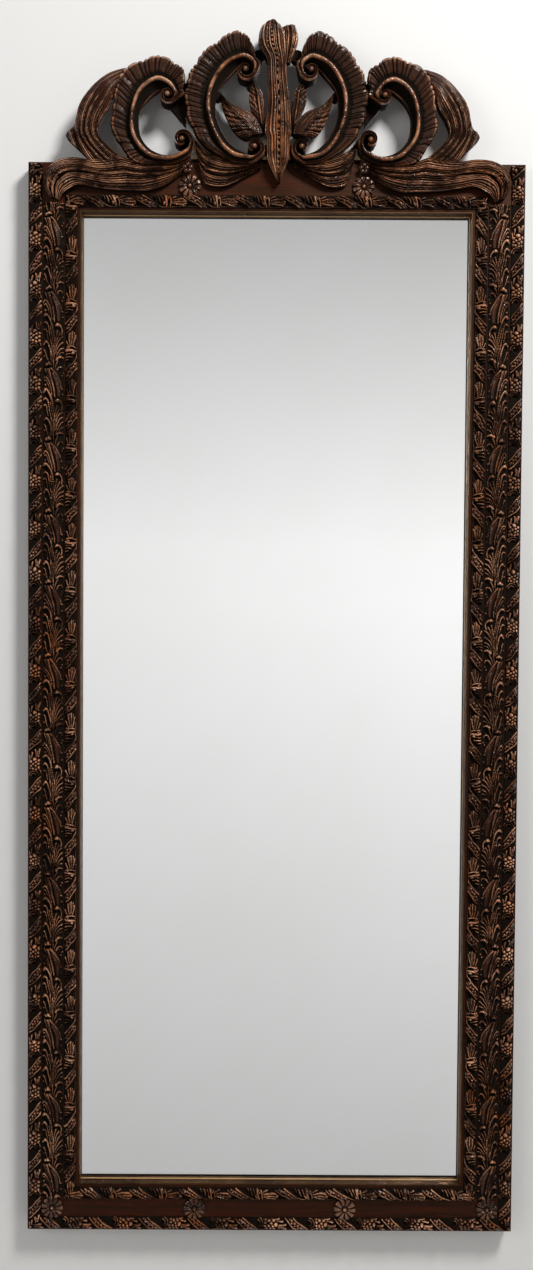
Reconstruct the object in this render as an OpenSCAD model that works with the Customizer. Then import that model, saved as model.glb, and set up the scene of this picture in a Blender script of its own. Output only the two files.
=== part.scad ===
// Carved wood wall mirror with a pierced scroll crest.
// Millimetres. X is across the mirror, Z is up, and the mirror faces -Y.
// The wall plane is y = 0, the foot of the frame is z = 0 and x = 0 is the middle.

/* [Frame] */
// Width across the outer edges of the stiles
frame_w = 715; // [600:1:860]
// Height from the foot of the frame to the top of the top rail
frame_h = 1560; // [1300:1:1800]
// Thickness of the frame timbers from the wall to their flat front
timber_d = 29; // [27:0.5:36]
// Plain lip outside the outer ribbon moulding
edge_lip = 1.5; // [1:0.1:3]
// Width of each ribbon-twist moulding
ribbon_w = 18.5; // [16:0.5:21]
// Height of the ribbon mouldings above the timber
ribbon_h = 9; // [7:0.5:10]
// Depth of the scoops between the ribbon turns
ribbon_scoop = 4.5; // [3:0.1:5.5]
// Spacing of the ribbon turns on the stiles
stile_pitch = 69; // [50:1:90]
// Spacing of the ribbon turns on the rails
rail_pitch = 72; // [50:1:90]
// Groove beside each moulding
groove_w = 1; // [0.5:0.1:2]
// Width of the leaf band on the stiles
leaf_band_w = 31; // [26:0.5:36]
// Height of the leaf band at its crown
leaf_band_h = 7; // [5:0.5:9]
// Depth of the ground between the leaves of the band
leaf_ground = 2.2; // [1:0.1:3]
// Spacing of the leaves along one edge of the band
leaf_pitch = 68; // [50:1:90]
// Width of the plain band on the rails
plain_band_w = 24; // [22:0.5:30]
// Plain fillet between the inner ribbon and the sight edge
sight_fillet = 2.5; // [1.5:0.1:4]

/* [Glazing] */
// Width of the rebate behind the sight edge
rebate_w = 12; // [9:0.5:14]
// Depth of the rebate from the back of the timber
rebate_d = 26; // [23:0.5:26]
// Thickness of the mirror glass
glass_t = 5; // [3:0.5:6]
// Thickness of the backing board
board_t = 5; // [3:0.5:6]
// Edge gap between the glass and the rebate
glass_gap = 1; // [0.5:0.1:2]
// Reach of the gilt slip over the glass at the rails
slip_reach = 7.5; // [4:0.5:9]
// Reach of the gilt slip over the glass at the stiles
slip_side_reach = 4.5; // [4:0.5:9]
// Depth of the slip in front of the glass
slip_d = 12; // [9:0.5:12]

/* [Crest] */
// Height of the crest above the top rail
crest_h = 197; // [180:1:215]
// Thickness of the pierced crest board
crest_t = 16; // [12:0.5:20]
// Height of the scroll bead above the crest board
bead_h = 21; // [16:0.5:26]
// Depth of the gadroon ribs on the shell ruffles
rib_d = 4; // [2:0.5:6]
// Number of gadroon ribs on an inner shell ruffle
inner_ribs = 22; // [12:1:24]
// Number of gadroon ribs on an outer shell ruffle
outer_ribs = 20; // [12:1:24]
// Width of the right half of the crest against the left, as hand carving leaves it
right_stretch = 0.95; // [0.93:0.005:1.02]
// Crown height of the centre leaf above the crest board
centre_leaf_h = 27; // [20:0.5:34]
// Crown height of the wings above the crest board
wing_h = 20; // [14:0.5:26]
// Crown height of the turned foot leaves
foot_h = 20; // [14:0.5:26]
// Crown height of the base leaves
base_leaf_h = 16; // [12:0.5:22]
// Crown height of the leaves inside the inner scrolls
inner_leaf_h = 12; // [8:0.5:18]

/* [Rosettes] */
// Radius of each rosette
rosette_r = 16; // [11:0.5:17]
// Number of petals on each rosette
petals = 10; // [7:1:12]
// Height of each rosette
rosette_h = 7; // [5:0.5:9]
// Distance of the top rosettes from the middle
top_rosette_x = 125; // [110:1:140]
// Distance of the bottom rosettes from the middle
bottom_rosette_x = 111; // [80:1:140]

/* [Joinery] */
// Length of each corner biscuit along the mitre
biscuit_l = 46; // [36:1:50]
// Thickness of each corner biscuit
biscuit_t = 4; // [3:0.5:5]
// Diameter of the crest dowels
dowel_d = 8; // [6:0.5:10]
// Length of the crest dowels
dowel_l = 40; // [30:1:50]
// Distance of the outer crest dowels from the middle
dowel_x = 200; // [170:1:220]
// Distance of the inner crest dowels from the middle
dowel_inner_x = 60; // [40:1:90]
// Length of each glue block behind the crest board
block_l = 44; // [30:1:60]
// Height of each glue block
block_h = 10; // [6:0.5:11]
// Thickness of the glazing points
point_t = 0.8; // [0.6:0.1:1.2]
// Width of the glazing points
point_w = 10; // [6:0.5:12]
// Length of the glazing points
point_l = 14; // [10:0.5:16]

/* [Hangers] */
// Height of the hanger hinge above the foot of the frame
hanger_z = 1250; // [1100:1:1300]
// Wire diameter of the hanger rings
ring_wire = 2.8; // [2:0.1:3.2]
// Width of the hanger rings between wire centres
ring_w = 22; // [18:0.5:26]
// Straight length of the ring arms
ring_arm = 7; // [4:0.5:12]
// Width of the strap plates
strap_w = 15; // [12:0.5:16]
// Length of the strap plates below the hinge
strap_l = 46; // [40:1:60]
// Thickness of the strap plates
strap_t = 1.5; // [1:0.1:2]
// Running clearance of the ring in the strap eye
eye_gap = 0.08; // [0.05:0.01:0.1]
// Shank diameter of the strap screws
screw_d = 3.6; // [3:0.1:4.2]
// Length of the strap screws
screw_l = 14; // [10:0.5:16]

/* [Hidden] */

wood = "#4a2a18";
dark_wood = "#38200f";
copper_wood = "#6b3d22";
gilt = "#8a6a38";
steel = "#a9a6a0";
$fn = 64;

stile_w = edge_lip + 2 * ribbon_w + 2 * groove_w + leaf_band_w + sight_fillet;
rail_w = edge_lip + 2 * ribbon_w + 2 * groove_w + plain_band_w + sight_fillet;
band_start = edge_lip + ribbon_w + groove_w;
half_w = frame_w / 2;
sight_x = half_w - stile_w;
glass_v = rebate_d - slip_d;
board_v = glass_v - glass_t;
past = 5;
carve_gap = 0.6;
foot_drop = 58;
front_v = timber_d + ribbon_h + past;
rail_band_z = band_start + plain_band_w / 2;
stile_band_x = half_w - band_start - leaf_band_w / 2;

function lerp(a, b, t) = a + (b - a) * t;
function span(n) = [for (i = [0 : n]) i / n];

// Smooth curve through the points p, with t from 0 to 1
function along(p, t) =
    let (n = len(p) - 1, s = min(t * n, n - 0.0001), i = floor(s), f = s - i)
    let (a = p[max(i - 1, 0)], b = p[i], c = p[i + 1], d = p[min(i + 2, n)])
    0.5 * (2 * b + (c - a) * f + (2 * a - 5 * b + 4 * c - d) * f * f + (3 * b - a - 3 * c + d) * f * f * f);

// Frame timbers, mitred at the corners and rebated for the glass

module in_wall_plane(t, v = 0) {
    translate([0, -v, 0])
    rotate([90, 0, 0])
    linear_extrude(t)
    children();
}

// The four-sided outline of one side of a mitred ring: side is 0 left, 1 right, 2 bottom, 3 top
function ring_side(side, x0, z0, wx, wz) =
    let (x1 = x0 - wx, z1 = z0 + wz, zt = frame_h - z0, zi = frame_h - z1)
    side == 0 ? [[-x0, z0], [-x1, z1], [-x1, zi], [-x0, zt]] :
    side == 1 ? [[x0, z0], [x1, z1], [x1, zi], [x0, zt]] :
    side == 2 ? [[-x0, z0], [x0, z0], [x1, z1], [-x1, z1]] :
    [[-x0, zt], [x0, zt], [x1, zi], [-x1, zi]];

// Lays a section along the left stile or the bottom rail: its first axis runs inwards, its second forwards
module along_stile(x0) {
    translate([-x0, 0, 0])
    linear_extrude(frame_h)
    mirror([0, 1, 0])
    children();
}

module along_rail(z0) {
    translate([-half_w, 0, z0])
    rotate([180, -90, 0])
    linear_extrude(frame_w)
    children();
}

module turned_to(side) {
    if (side == 0 || side == 2)
        children();
    else
        translate([0, 0, frame_h]) rotate([0, 180, 0]) children();
}

module mitred(side, x0, z0, w) {
    upright = side < 2;
    turned_to(side)
    intersection() {
        if (upright)
            along_stile(x0) children();
        else
            along_rail(z0) children();
        in_wall_plane(front_v)
        polygon(ring_side(upright ? 0 : 2, x0, z0, w, w));
    }
}

// Wooden biscuits in the mitres

biscuit_v = 12;
biscuit_gap = 0.1;
biscuit_wide = 20;
biscuit_place = 0.42;

module biscuit(gap) {
    bow_r = (biscuit_l * biscuit_l + biscuit_wide * biscuit_wide) / (4 * biscuit_wide);
    in_wall_plane(biscuit_t + 2 * gap, biscuit_v - gap)
    intersection_for(s = [-1, 1])
    translate([0, s * (bow_r - biscuit_wide / 2)])
    circle(bow_r + gap, $fn = 96);
}

module at_corners() {
    mitre_angle = atan2(rail_w, stile_w);
    for (sx = [-1, 1], top = [0, 1])
        translate([sx * (half_w - biscuit_place * stile_w), 0,
            top * frame_h + (1 - 2 * top) * biscuit_place * rail_w])
        rotate([0, sx * (1 - 2 * top) * mitre_angle, 0])
        children();
}

module corner_biscuits() {
    color("tan")
    at_corners() biscuit(0);
}

// Glazing points press on the backing board and stand in the rebate wall

point_v = board_v - board_t - point_t;
point_bite = 5;
point_gap = 0.05;
stile_points = [0.12, 0.31, 0.5, 0.69, 0.88];
rail_points = [0.25, 0.75];

module point_shape(gap) {
    in_wall_plane(point_t + 2 * gap, point_v - gap)
    polygon([[-point_bite - gap, 0], [0, point_w / 2 + gap], [point_l - point_bite, point_w / 2 + gap],
        [point_l - point_bite, -point_w / 2 - gap], [0, -point_w / 2 - gap]]);
}

module at_points() {
    for (f = stile_points, s = [0, 1])
        mirror([s, 0, 0])
        translate([-sight_x - rebate_w, 0, f * frame_h])
        children();
    for (f = rail_points, s = [0, 1])
        translate([lerp(-sight_x, sight_x, f), 0, s * frame_h])
        mirror([0, 0, s])
        translate([0, 0, rail_w - rebate_w])
        rotate([0, -90, 0])
        children();
}

module glazing_points() {
    color(steel)
    at_points() point_shape(0);
}

// Frame timbers, mitred at the corners and rebated for the glass

module timber(side) {
    difference() {
        in_wall_plane(timber_d) polygon(ring_side(side, half_w, 0, stile_w, rail_w));
        translate([-sight_x - rebate_w, -rebate_d, rail_w - rebate_w])
        cube([2 * (sight_x + rebate_w), rebate_d + past, frame_h - 2 * (rail_w - rebate_w)]);
        at_corners() biscuit(biscuit_gap);
        at_points() point_shape(point_gap);
        if (side == 3)
            at_dowels() dowel(dowel_gap);
        if (side < 2)
            mirror([side, 0, 0]) hanger_cuts();
    }
}

module stile_left() { color(wood) timber(0); }
module stile_right() { color(wood) timber(1); }
module rail_bottom() { color(wood) timber(2); }
module rail_top() { color(wood) timber(3); }

// Ribbon-twist mouldings: a half-round bar with a slanted scoop at each turn and a flower bud in each scoop

module cushion(w, h) {
    arc_r = (w * w / 4 + h * h) / (2 * h);
    translate([0, timber_d])
    intersection() {
        translate([w / 2, h - arc_r]) circle(arc_r, $fn = 96);
        square([w, h + past]);
    }
}

inner_x = half_w - band_start - leaf_band_w - groove_w;
inner_z = band_start + plain_band_w + groove_w;
scoop_angle = 48;
scoop_r = 13;
bud_r = 5;
bud_rise = 1.5;

// Lays its children at each turn of a bar that runs upwards from 0, or to the right when it isn't upright
module at_turns(length, upright) {
    pitch = upright ? stile_pitch : rail_pitch;
    count = floor(length / pitch);
    for (i = [0 : count - 1])
        rotate([0, upright ? 0 : 90, 0])
        translate([(upright ? 1 : -1) * ribbon_w / 2, 0, (length - (count - 1) * pitch) / 2 + i * pitch])
        children();
}

module ribbon_side(side, x0, z0) {
    upright = side < 2;
    length = upright ? frame_h - 2 * z0 : 2 * x0;
    axis_v = timber_d + ribbon_h - ribbon_scoop + scoop_r;
    color(dark_wood) {
        difference() {
            mitred(side, x0, z0, ribbon_w) cushion(ribbon_w, ribbon_h);
            turned_to(side)
            translate([-x0, -axis_v, z0])
            at_turns(length, upright)
            rotate([0, 90 - scoop_angle, 0])
            cylinder(h = 3 * ribbon_w, r = scoop_r, center = true);
        }
        turned_to(side)
        intersection() {
            translate([-x0, -timber_d - bud_rise, z0])
            at_turns(length, upright)
            sphere(bud_r);
            translate([-half_w, -front_v, 0])
            cube([frame_w, ribbon_h + past, frame_h]);
        }
    }
}

module outer_ribbon_left() { ribbon_side(0, half_w - edge_lip, edge_lip); }
module outer_ribbon_right() { ribbon_side(1, half_w - edge_lip, edge_lip); }
module outer_ribbon_bottom() { ribbon_side(2, half_w - edge_lip, edge_lip); }
module inner_ribbon_left() { ribbon_side(0, inner_x, inner_z); }
module inner_ribbon_right() { ribbon_side(1, inner_x, inner_z); }
module inner_ribbon_bottom() { ribbon_side(2, inner_x, inner_z); }
module inner_ribbon_top() { ribbon_side(3, inner_x, inner_z); }

// Short mitred ends of the outer ribbon beside the crest
module outer_ribbon_stub() {
    color(dark_wood)
    intersection() {
        mitred(3, half_w - edge_lip, edge_lip, ribbon_w) cushion(ribbon_w, ribbon_h);
        translate([-half_w, -front_v, frame_h - 2 * ribbon_w])
        cube([half_w - foot_reach - carve_gap, front_v + past, 2 * ribbon_w]);
    }
}

module outer_ribbon_top_left() { outer_ribbon_stub(); }
module outer_ribbon_top_right() { mirror([1, 0, 0]) outer_ribbon_stub(); }

// Leaf bands between the ribbons of the stiles: a cushion with overlapping pointed leaves raised on it

leaf_wide = 0.62;
leaf_lean = 14;
leaf_band_foot = rail_band_z + rosette_r + carve_gap;
leaf_band_top = frame_h - foot_drop;

module leaf_outline() {
    long = 0.85 * leaf_pitch;
    wide = leaf_wide * leaf_band_w;
    bow_r = (long * long + wide * wide) / (4 * wide);
    intersection() {
        translate([bow_r - wide / 2, 0]) circle(bow_r, $fn = 96);
        translate([wide / 2 - bow_r, 0]) circle(bow_r, $fn = 96);
    }
}

module leaf_band() {
    count = floor((leaf_band_top - leaf_band_foot) / leaf_pitch);
    first_z = leaf_band_foot + (leaf_band_top - leaf_band_foot - (count - 0.5) * leaf_pitch) / 2;
    color(dark_wood)
    intersection() {
        union() {
            along_stile(half_w - band_start) cushion(leaf_band_w, leaf_band_h - leaf_ground);
            intersection() {
                along_stile(half_w - band_start) cushion(leaf_band_w, leaf_band_h);
                in_wall_plane(front_v)
                translate([-stile_band_x, first_z])
                for (i = [0 : count - 1], s = [0, 1])
                    translate([(s - 0.5) * 0.42 * leaf_band_w, (i + s / 2) * leaf_pitch])
                    rotate((1 - 2 * s) * leaf_lean)
                    leaf_outline();
            }
        }
        translate([-half_w, -front_v, leaf_band_foot])
        cube([stile_w, front_v + past, leaf_band_top - leaf_band_foot]);
    }
}

module leaf_band_left() { leaf_band(); }
module leaf_band_right() { mirror([1, 0, 0]) leaf_band(); }

// Gilt slip: a mitred bevel between the sight edge and the glass

slip_gap = 0.2;
slip_lip = 1.2;
slip_seat = rebate_w - slip_gap;
slip_nose = 2;
slip_front = timber_d - 1;

module slip_section(reach) {
    polygon([[0, glass_v], [slip_seat + reach, glass_v], [slip_seat + reach, glass_v + slip_lip],
        [rebate_w + slip_nose, slip_front], [rebate_w + slip_gap, slip_front],
        [rebate_w + slip_gap, rebate_d], [0, rebate_d]]);
}

// The mitre runs from the outer corner through the sight corner to the nose corner
slip_mitre = [[-sight_x - slip_seat, rail_w - slip_seat], [-sight_x, rail_w],
    [-sight_x + slip_side_reach, rail_w + slip_reach]];

module slip(side) {
    back_again = [for (i = [2 : -1 : 0])
        side < 2 ? [slip_mitre[i].x, frame_h - slip_mitre[i].y] : [-slip_mitre[i].x, slip_mitre[i].y]];
    color(gilt)
    turned_to(side)
    intersection() {
        if (side < 2)
            along_stile(sight_x + slip_seat) slip_section(slip_side_reach);
        else
            along_rail(rail_w - slip_seat) slip_section(slip_reach);
        in_wall_plane(front_v) polygon(concat(slip_mitre, back_again));
    }
}

module slip_left() { slip(0); }
module slip_right() { slip(1); }
module slip_bottom() { slip(2); }
module slip_top() { slip(3); }

// Glass and backing board in the rebate

module sheet(t, v) {
    margin = rebate_w - glass_gap;
    in_wall_plane(t, v)
    translate([-sight_x - margin, rail_w - margin])
    square([2 * (sight_x + margin), frame_h - 2 * (rail_w - margin)]);
}

module mirror_glass() { color("silver") sheet(glass_t, board_v); }
module backing_board() { color("peru") sheet(board_t, board_v - board_t); }

// Rosettes on the plain bands, coped over the edges of the ribbons beside them

cope_gap = 0.1;

module ribbon_bar(side, x0, z0) {
    mitred(side, x0 + cope_gap, z0 - cope_gap, ribbon_w + 2 * cope_gap)
    cushion(ribbon_w + 2 * cope_gap, ribbon_h + cope_gap);
}

module coped(side) {
    difference() {
        children();
        ribbon_bar(side, half_w - edge_lip, edge_lip);
        ribbon_bar(side, inner_x, inner_z);
    }
}

module rosette_at(x, z) {
    eye_r = 0.3 * rosette_r;
    petal_r = 0.24 * rosette_r;
    base_t = 2.5;
    color(copper_wood)
    translate([x, -timber_d, z])
    rotate([90, 0, 0]) {
        cylinder(h = base_t, r = rosette_r - petal_r);
        for (i = [0 : petals - 1])
            rotate(i * 360 / petals)
            translate([rosette_r - petal_r, 0, 0])
            cylinder(h = rosette_h - 2.5, r1 = petal_r, r2 = 0.7 * petal_r);
        cylinder(h = rosette_h, r1 = 1.2 * eye_r, r2 = 0.7 * eye_r);
    }
}

top_rosette_z = frame_h - rail_band_z - 1;

// The top rosettes stay between the roots of the crest's leaves, which follow the width
module rosette_top_left() { coped(3) rosette_at(-top_rosette_x * crest_scale.x, top_rosette_z); }
module rosette_top_right() { coped(3) rosette_at(top_rosette_x * crest_scale.x, top_rosette_z); }
module rosette_bottom_left() { coped(2) rosette_at(-bottom_rosette_x, rail_band_z); }
module rosette_bottom_right() { coped(2) rosette_at(bottom_rosette_x, rail_band_z); }
module rosette_corner_left() { coped(2) rosette_at(-stile_band_x, rail_band_z); }
module rosette_corner_right() { coped(2) rosette_at(stile_band_x, rail_band_z); }

// Crest curves, in millimetres from the middle of the top rail's upper edge.
// The first number runs outwards from the middle, the second upwards.
// They are drawn for a frame 715 wide and a crest 197 high, and follow both sizes.

crest_scale = [frame_w / 715, crest_h / 197];

function drawn_at(q) = [q.x * crest_scale.x, q.y * crest_scale.y];
function drawn(list) = [for (q = list) drawn_at(q)];

inner_eye_top = drawn_at([46.8, 127]);
inner_eye_low = drawn_at([33.5, 18.7]);
inner_bead = drawn([[35, 140], [51, 147], [78, 133], [97, 100], [98, 64], [84, 29], [65, 10], [45, 5]]);
inner_hole = drawn([[39, 136.5], [50, 138], [67, 121], [86, 97], [88.5, 66], [77, 37], [60, 19], [44, 11.5]]);
inner_edge = drawn([[27, 141], [53, 183], [103, 156], [130, 112], [131, 70], [110, 27], [69, 1], [43, -4]]);

outer_eye_top = drawn_at([157.8, 91.4]);
outer_eye_low = drawn_at([137, 28.6]);
outer_bead = drawn([[146, 95], [157, 109], [175, 114], [197, 98], [208, 68], [206, 35], [187, 10], [164, 2],
    [146, 4], [130, 12]]);
outer_hole = drawn([[149.5, 94], [157, 103.5], [171, 98], [187, 84], [198, 64], [196, 36], [183, 18],
    [163, 9], [147.5, 10], [132.5, 16.5]]);
outer_edge = drawn([[134, 95], [137, 130], [174, 147], [221, 126], [234, 88], [236, 42], [205, -1], [165, -5],
    [144, -3], [126, 6]]);

wing_inner = drawn([[232, 111], [238, 93], [241, 76], [250, 61], [256, 47], [255, 34], [244, 22], [230, 10.5]]);
wing_outer = drawn([[225, 131], [244, 123], [268, 103], [284, 79], [291, 52], [303, 36], [286, 18],
    [267, 4.5]]);

foot_upper = drawn([[228, 8], [262, 2], [290, 5], [313, 1], [330, -12], [335, -33], [327, -50]]);
foot_lower = drawn([[211, -42], [235, -41], [262, -38], [285, -34], [299, -41], [307, -47], [313, -55]]);

outer_base_upper = drawn([[124, 2], [143, -6], [166, -8.5], [200, -7], [226.5, 8]]);
outer_base_lower = drawn([[123, -3], [141, -20], [163, -35], [186, -42], [209.5, -42]]);

inner_base_upper = drawn([[118, 20], [97, 8], [70, -3], [44, -8], [24, -3]]);
inner_base_lower = drawn([[109, -18], [100, -33], [74, -35], [44, -20], [23, -9]]);

inner_leaf_upper = drawn([[20.5, 41], [26, 56], [38, 69], [52, 76], [67, 83], [81, 97]]);
inner_leaf_lower = drawn([[47, 34], [57, 38], [66, 48], [73, 62], [79, 78], [82, 95]]);

plume_outer = drawn([[25.5, 58], [36, 71.5], [40.5, 84], [41, 97], [38, 108]]);
plume_inner = drawn([[20.6, 47], [18.3, 62], [19, 80], [22, 98], [33, 111]]);

centre_edge_left = drawn([[-10, 196], [-23, 190], [-28, 175], [-26, 160], [-16, 143], [-14.5, 120], [-14, 80],
    [-18.5, 44], [-15.4, 30], [-15, 5], [-7, -14], [1, -29]]);
centre_edge_right = drawn([[-6, 197], [3, 191], [8, 177], [10, 160], [11.5, 143], [12, 120], [16.5, 82],
    [19.4, 44], [16.8, 30], [16.3, 5], [9, -14], [4, -29]]);

curl_inner = drawn([[-13.5, 146], [-12.3, 160], [-10.5, 175], [-10, 189]]);
curl_outer = drawn([[-19, 145], [-25, 159], [-28.5, 174], [-24, 191]]);

// The foot leaves reach this far from the middle, and the outer ribbon ends beside them
foot_reach = max([for (q = foot_upper) q.x]) + 1;

// Hand carving left the right half narrower: the stretch works from this distance outwards
stretch_from = 40 * crest_scale.x;
root_end = 230 * crest_scale.x;
corner_start = 305 * crest_scale.x;

function placed(u, stretch) = -(stretch_from + (u - stretch_from) * stretch);

// The foot leaves keep their ends at the corners of the frame while their roots follow the crest
function rooted(list, stretch) = [for (q = list)
    let (free = min(1, max(0, (q.x - root_end) / (corner_start - root_end))))
    [lerp(-placed(q.x, stretch), q.x, free), q.y]];

// A carved solid on the front of the crest board. Each row of points crosses the carving:
// outwards, upwards, height above the board. The back is flat on the board.
module carved(rows, stretch = 1) {
    n = len(rows);
    m = len(rows[0]);
    front = [for (r = rows) for (q = r) [placed(q.x, stretch), -timber_d - q.z, frame_h + q.y]];
    back = [for (r = rows) for (q = [r[0], r[m - 1]]) [placed(q.x, stretch), -timber_d, frame_h + q.y]];
    foot = n * m;
    function quad(a, b, c, d) = [[a, b, c], [a, c, d]];
    skin = [for (i = [0 : n - 2], j = [0 : m - 2])
        each quad(i * m + j, (i + 1) * m + j, (i + 1) * m + j + 1, i * m + j + 1)];
    walls = [for (i = [0 : n - 2]) each concat(
        quad(foot + 2 * i, foot + 2 * i + 2, (i + 1) * m, i * m),
        quad((i + 1) * m - 1, (i + 2) * m - 1, foot + 2 * i + 3, foot + 2 * i + 1),
        quad(foot + 2 * i + 1, foot + 2 * i + 3, foot + 2 * i + 2, foot + 2 * i))];
    ends = concat(
        [for (j = [0 : m - 2]) [foot, j, j + 1]], [[foot, m - 1, foot + 1]],
        [for (j = [0 : m - 2]) [foot + 2 * n - 2, (n - 1) * m + j + 1, (n - 1) * m + j]],
        [[foot + 2 * n - 2, foot + 2 * n - 1, n * m - 1]]);
    polyhedron(concat(front, back), concat(skin, walls, ends));
}

// Rows of a fluted leaf between two edges, with its crown heights listed along it
function leaf_rows(edge_a, edge_b, crowns, flutes, flute_d, rows) =
    [for (t = span(rows))
        let (a = along(edge_a, t), b = along(edge_b, t), crown = along(crowns, t))
        [for (f = span(2 * flutes))
            let (swell = sqrt(max(0, 1 - pow(2 * f - 1, 2))), ridge = cos(360 * flutes * f))
            let (p = lerp(a, b, f))
            [p.x, p.y, crown * (leaf_rim + (1 - leaf_rim) * swell) + flute_d * (ridge - 1) / 2]]];

leaf_rim = 0.45;

// Rows of a scroll: cove, bead and gadrooned ruffle along the C, and a closing spiral at each end

bead_half = 3.2;
volute_turn = 375;
volute_steps = 11;
volute_end_r = 4.2;
volute_half = 3;
ruffle_end = 0.7;
lobe_reach = 1.2;

function scroll_rows(bead, hole, edge, eye_top, eye_low, ribs) =
    let (arc = concat([for (i = [0 : 2 * ribs]) ruffle_end * i / (2 * ribs)],
        [for (i = [1 : 5]) lerp(ruffle_end, 1, i / 5)]))
    concat(
        [for (i = [volute_steps : -1 : 1])
            volute_row(eye_top, bead[0], hole[0], volute_turn, i / volute_steps)],
        [for (i = [0 : len(arc) - 1])
            let (t = arc[i], lobe = i >= 2 * ribs ? 0 : i % 2 == 0 ? -1 : 1)
            arc_row(along(bead, t), along(hole, t), along(edge, t), lobe)],
        [for (i = [1 : volute_steps])
            volute_row(eye_low, bead[len(bead) - 1], hole[len(hole) - 1], -volute_turn, i / volute_steps)]);

function arc_row(b, a, e, lobe) =
    let (in_w = norm(a - b), out_w = norm(e - b), reach = 1 + lobe * lobe_reach / max(out_w, 12))
    let (wide = min(1, out_w / 20), o = lerp(b, e, reach), rib = lobe * rib_d / 2 * wide)
    let (cut = function(p, h) [p.x, p.y, h])
    [
        cut(a, 0.28 * bead_h),
        cut(lerp(a, b, 0.5), 0.42 * bead_h),
        cut(lerp(b, a, min(0.8, bead_half / in_w)), 0.86 * bead_h),
        cut(b, bead_h),
        cut(lerp(b, e, min(0.35, bead_half / out_w)), 0.8 * bead_h),
        cut(lerp(b, o, 0.55), lerp(0.55, 0.82, wide) * bead_h + rib),
        cut(lerp(b, o, 0.85), lerp(0.5, 0.72, wide) * bead_h + rib),
        cut(o, 0.42 * bead_h + rib / 2)
    ];

function volute_row(eye, b0, a0, turn, t) =
    let (r0 = norm(b0 - eye), start = atan2(b0.y - eye.y, b0.x - eye.x), half0 = norm(b0 - a0))
    let (r = lerp(r0, volute_end_r, pow(t, 0.7)), dir = start + turn * t)
    let (half = lerp(half0, volute_half, min(1, 2 * t)))
    let (across = [-1, -0.8, -0.5, 0, 0.4, 0.7, 0.9, 1])
    let (high = [0.45, 0.7, 0.92, 1, 0.95, 0.8, 0.62, 0.45])
    [for (k = [0 : 7])
        let (p = eye + (r + across[k] * half) * [cos(dir), sin(dir)])
        [p.x, p.y, high[k] * (bead_h + 2 * t)]];

leaf_steps = 12;
long_leaf_steps = 16;
centre_steps = 26;

module scroll(bead, hole, edge, eye_top, eye_low, ribs, stretch) {
    color(copper_wood)
    carved(scroll_rows(bead, hole, edge, eye_top, eye_low, ribs), stretch);
}

module inner_scroll(stretch) {
    scroll(inner_bead, inner_hole, inner_edge, inner_eye_top, inner_eye_low, inner_ribs, stretch);
}

module outer_scroll(stretch) {
    scroll(outer_bead, outer_hole, outer_edge, outer_eye_top, outer_eye_low, outer_ribs, stretch);
}

module wing(stretch) {
    color(wood)
    carved(leaf_rows(wing_inner, wing_outer, wing_h * [0.7, 1, 1, 0.9, 0.7], 4, 3, long_leaf_steps), stretch);
}

module foot_leaf(stretch) {
    color(copper_wood)
    carved(leaf_rows(rooted(foot_lower, stretch), rooted(foot_upper, stretch),
        foot_h * [0.75, 0.8, 1, 1.1, 0.6], 4, 3, long_leaf_steps));
}

module outer_base_leaf(stretch) {
    color(wood)
    carved(leaf_rows(outer_base_lower, outer_base_upper, base_leaf_h * [0.5, 1, 1], 4, 3, leaf_steps),
        stretch);
}

module inner_base_leaf(stretch) {
    color(wood)
    carved(leaf_rows(inner_base_upper, inner_base_lower, base_leaf_h * [0.6, 1, 0.7], 4, 3, leaf_steps),
        stretch);
}

module inner_leaf(stretch) {
    color(wood)
    carved(leaf_rows(inner_leaf_lower, inner_leaf_upper, inner_leaf_h * [1, 1.2, 0.7], 4, 2.5, leaf_steps),
        stretch);
}

module plume_leaf(stretch) {
    color(wood)
    carved(leaf_rows(plume_outer, plume_inner, inner_leaf_h * [0.9, 1, 0.8], 3, 2, 10), stretch);
}

module on_right() {
    mirror([1, 0, 0]) children();
}

module inner_scroll_left() { inner_scroll(1); }
module inner_scroll_right() { on_right() inner_scroll(right_stretch); }
module outer_scroll_left() { outer_scroll(1); }
module outer_scroll_right() { on_right() outer_scroll(right_stretch); }
module wing_left() { wing(1); }
module wing_right() { on_right() wing(right_stretch); }
module foot_leaf_left() { foot_leaf(1); }
module foot_leaf_right() { on_right() foot_leaf(right_stretch); }
module outer_base_leaf_left() { outer_base_leaf(1); }
module outer_base_leaf_right() { on_right() outer_base_leaf(right_stretch); }
module inner_base_leaf_left() { inner_base_leaf(1); }
module inner_base_leaf_right() { on_right() inner_base_leaf(right_stretch); }
module inner_leaf_left() { inner_leaf(1); }
module inner_leaf_right() { on_right() inner_leaf(right_stretch); }
module plume_leaf_left() { plume_leaf(1); }
module plume_leaf_right() { on_right() plume_leaf(right_stretch); }

module centre_leaf() {
    color(copper_wood)
    mirror([1, 0, 0])
    carved(leaf_rows(centre_edge_left, centre_edge_right,
        centre_leaf_h * [0.8, 1.15, 1, 0.9, 1, 0.9, 0.5], 5, 4, centre_steps));
}

module centre_curl() {
    color(wood)
    carved(leaf_rows(curl_inner, curl_outer, centre_leaf_h * [0.6, 0.85, 0.7], 3, 3, 10));
}

// Pierced crest board that carries the carvings and stands on the top rail

board_inset = 0.08;
board_steps = 24;
seat_h = 5;
seat_x = 262 * crest_scale.x;

// Small round ties of the board behind the places where two carvings meet: outwards, upwards, radius
board_ties = [for (t = [[132, 104, 9], [232, 113, 9], [254, 6, 9], [86, 95, 6], [22, 50, 8], [38, 111, 6],
    [27, 152, 9], [17, 20, 6]]) concat(drawn_at(t), t.z)];

// The board fills the corner between an outer volute and the inner ruffle
board_web = drawn([[160, 86], [131, 92], [131, 52]]);

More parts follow.
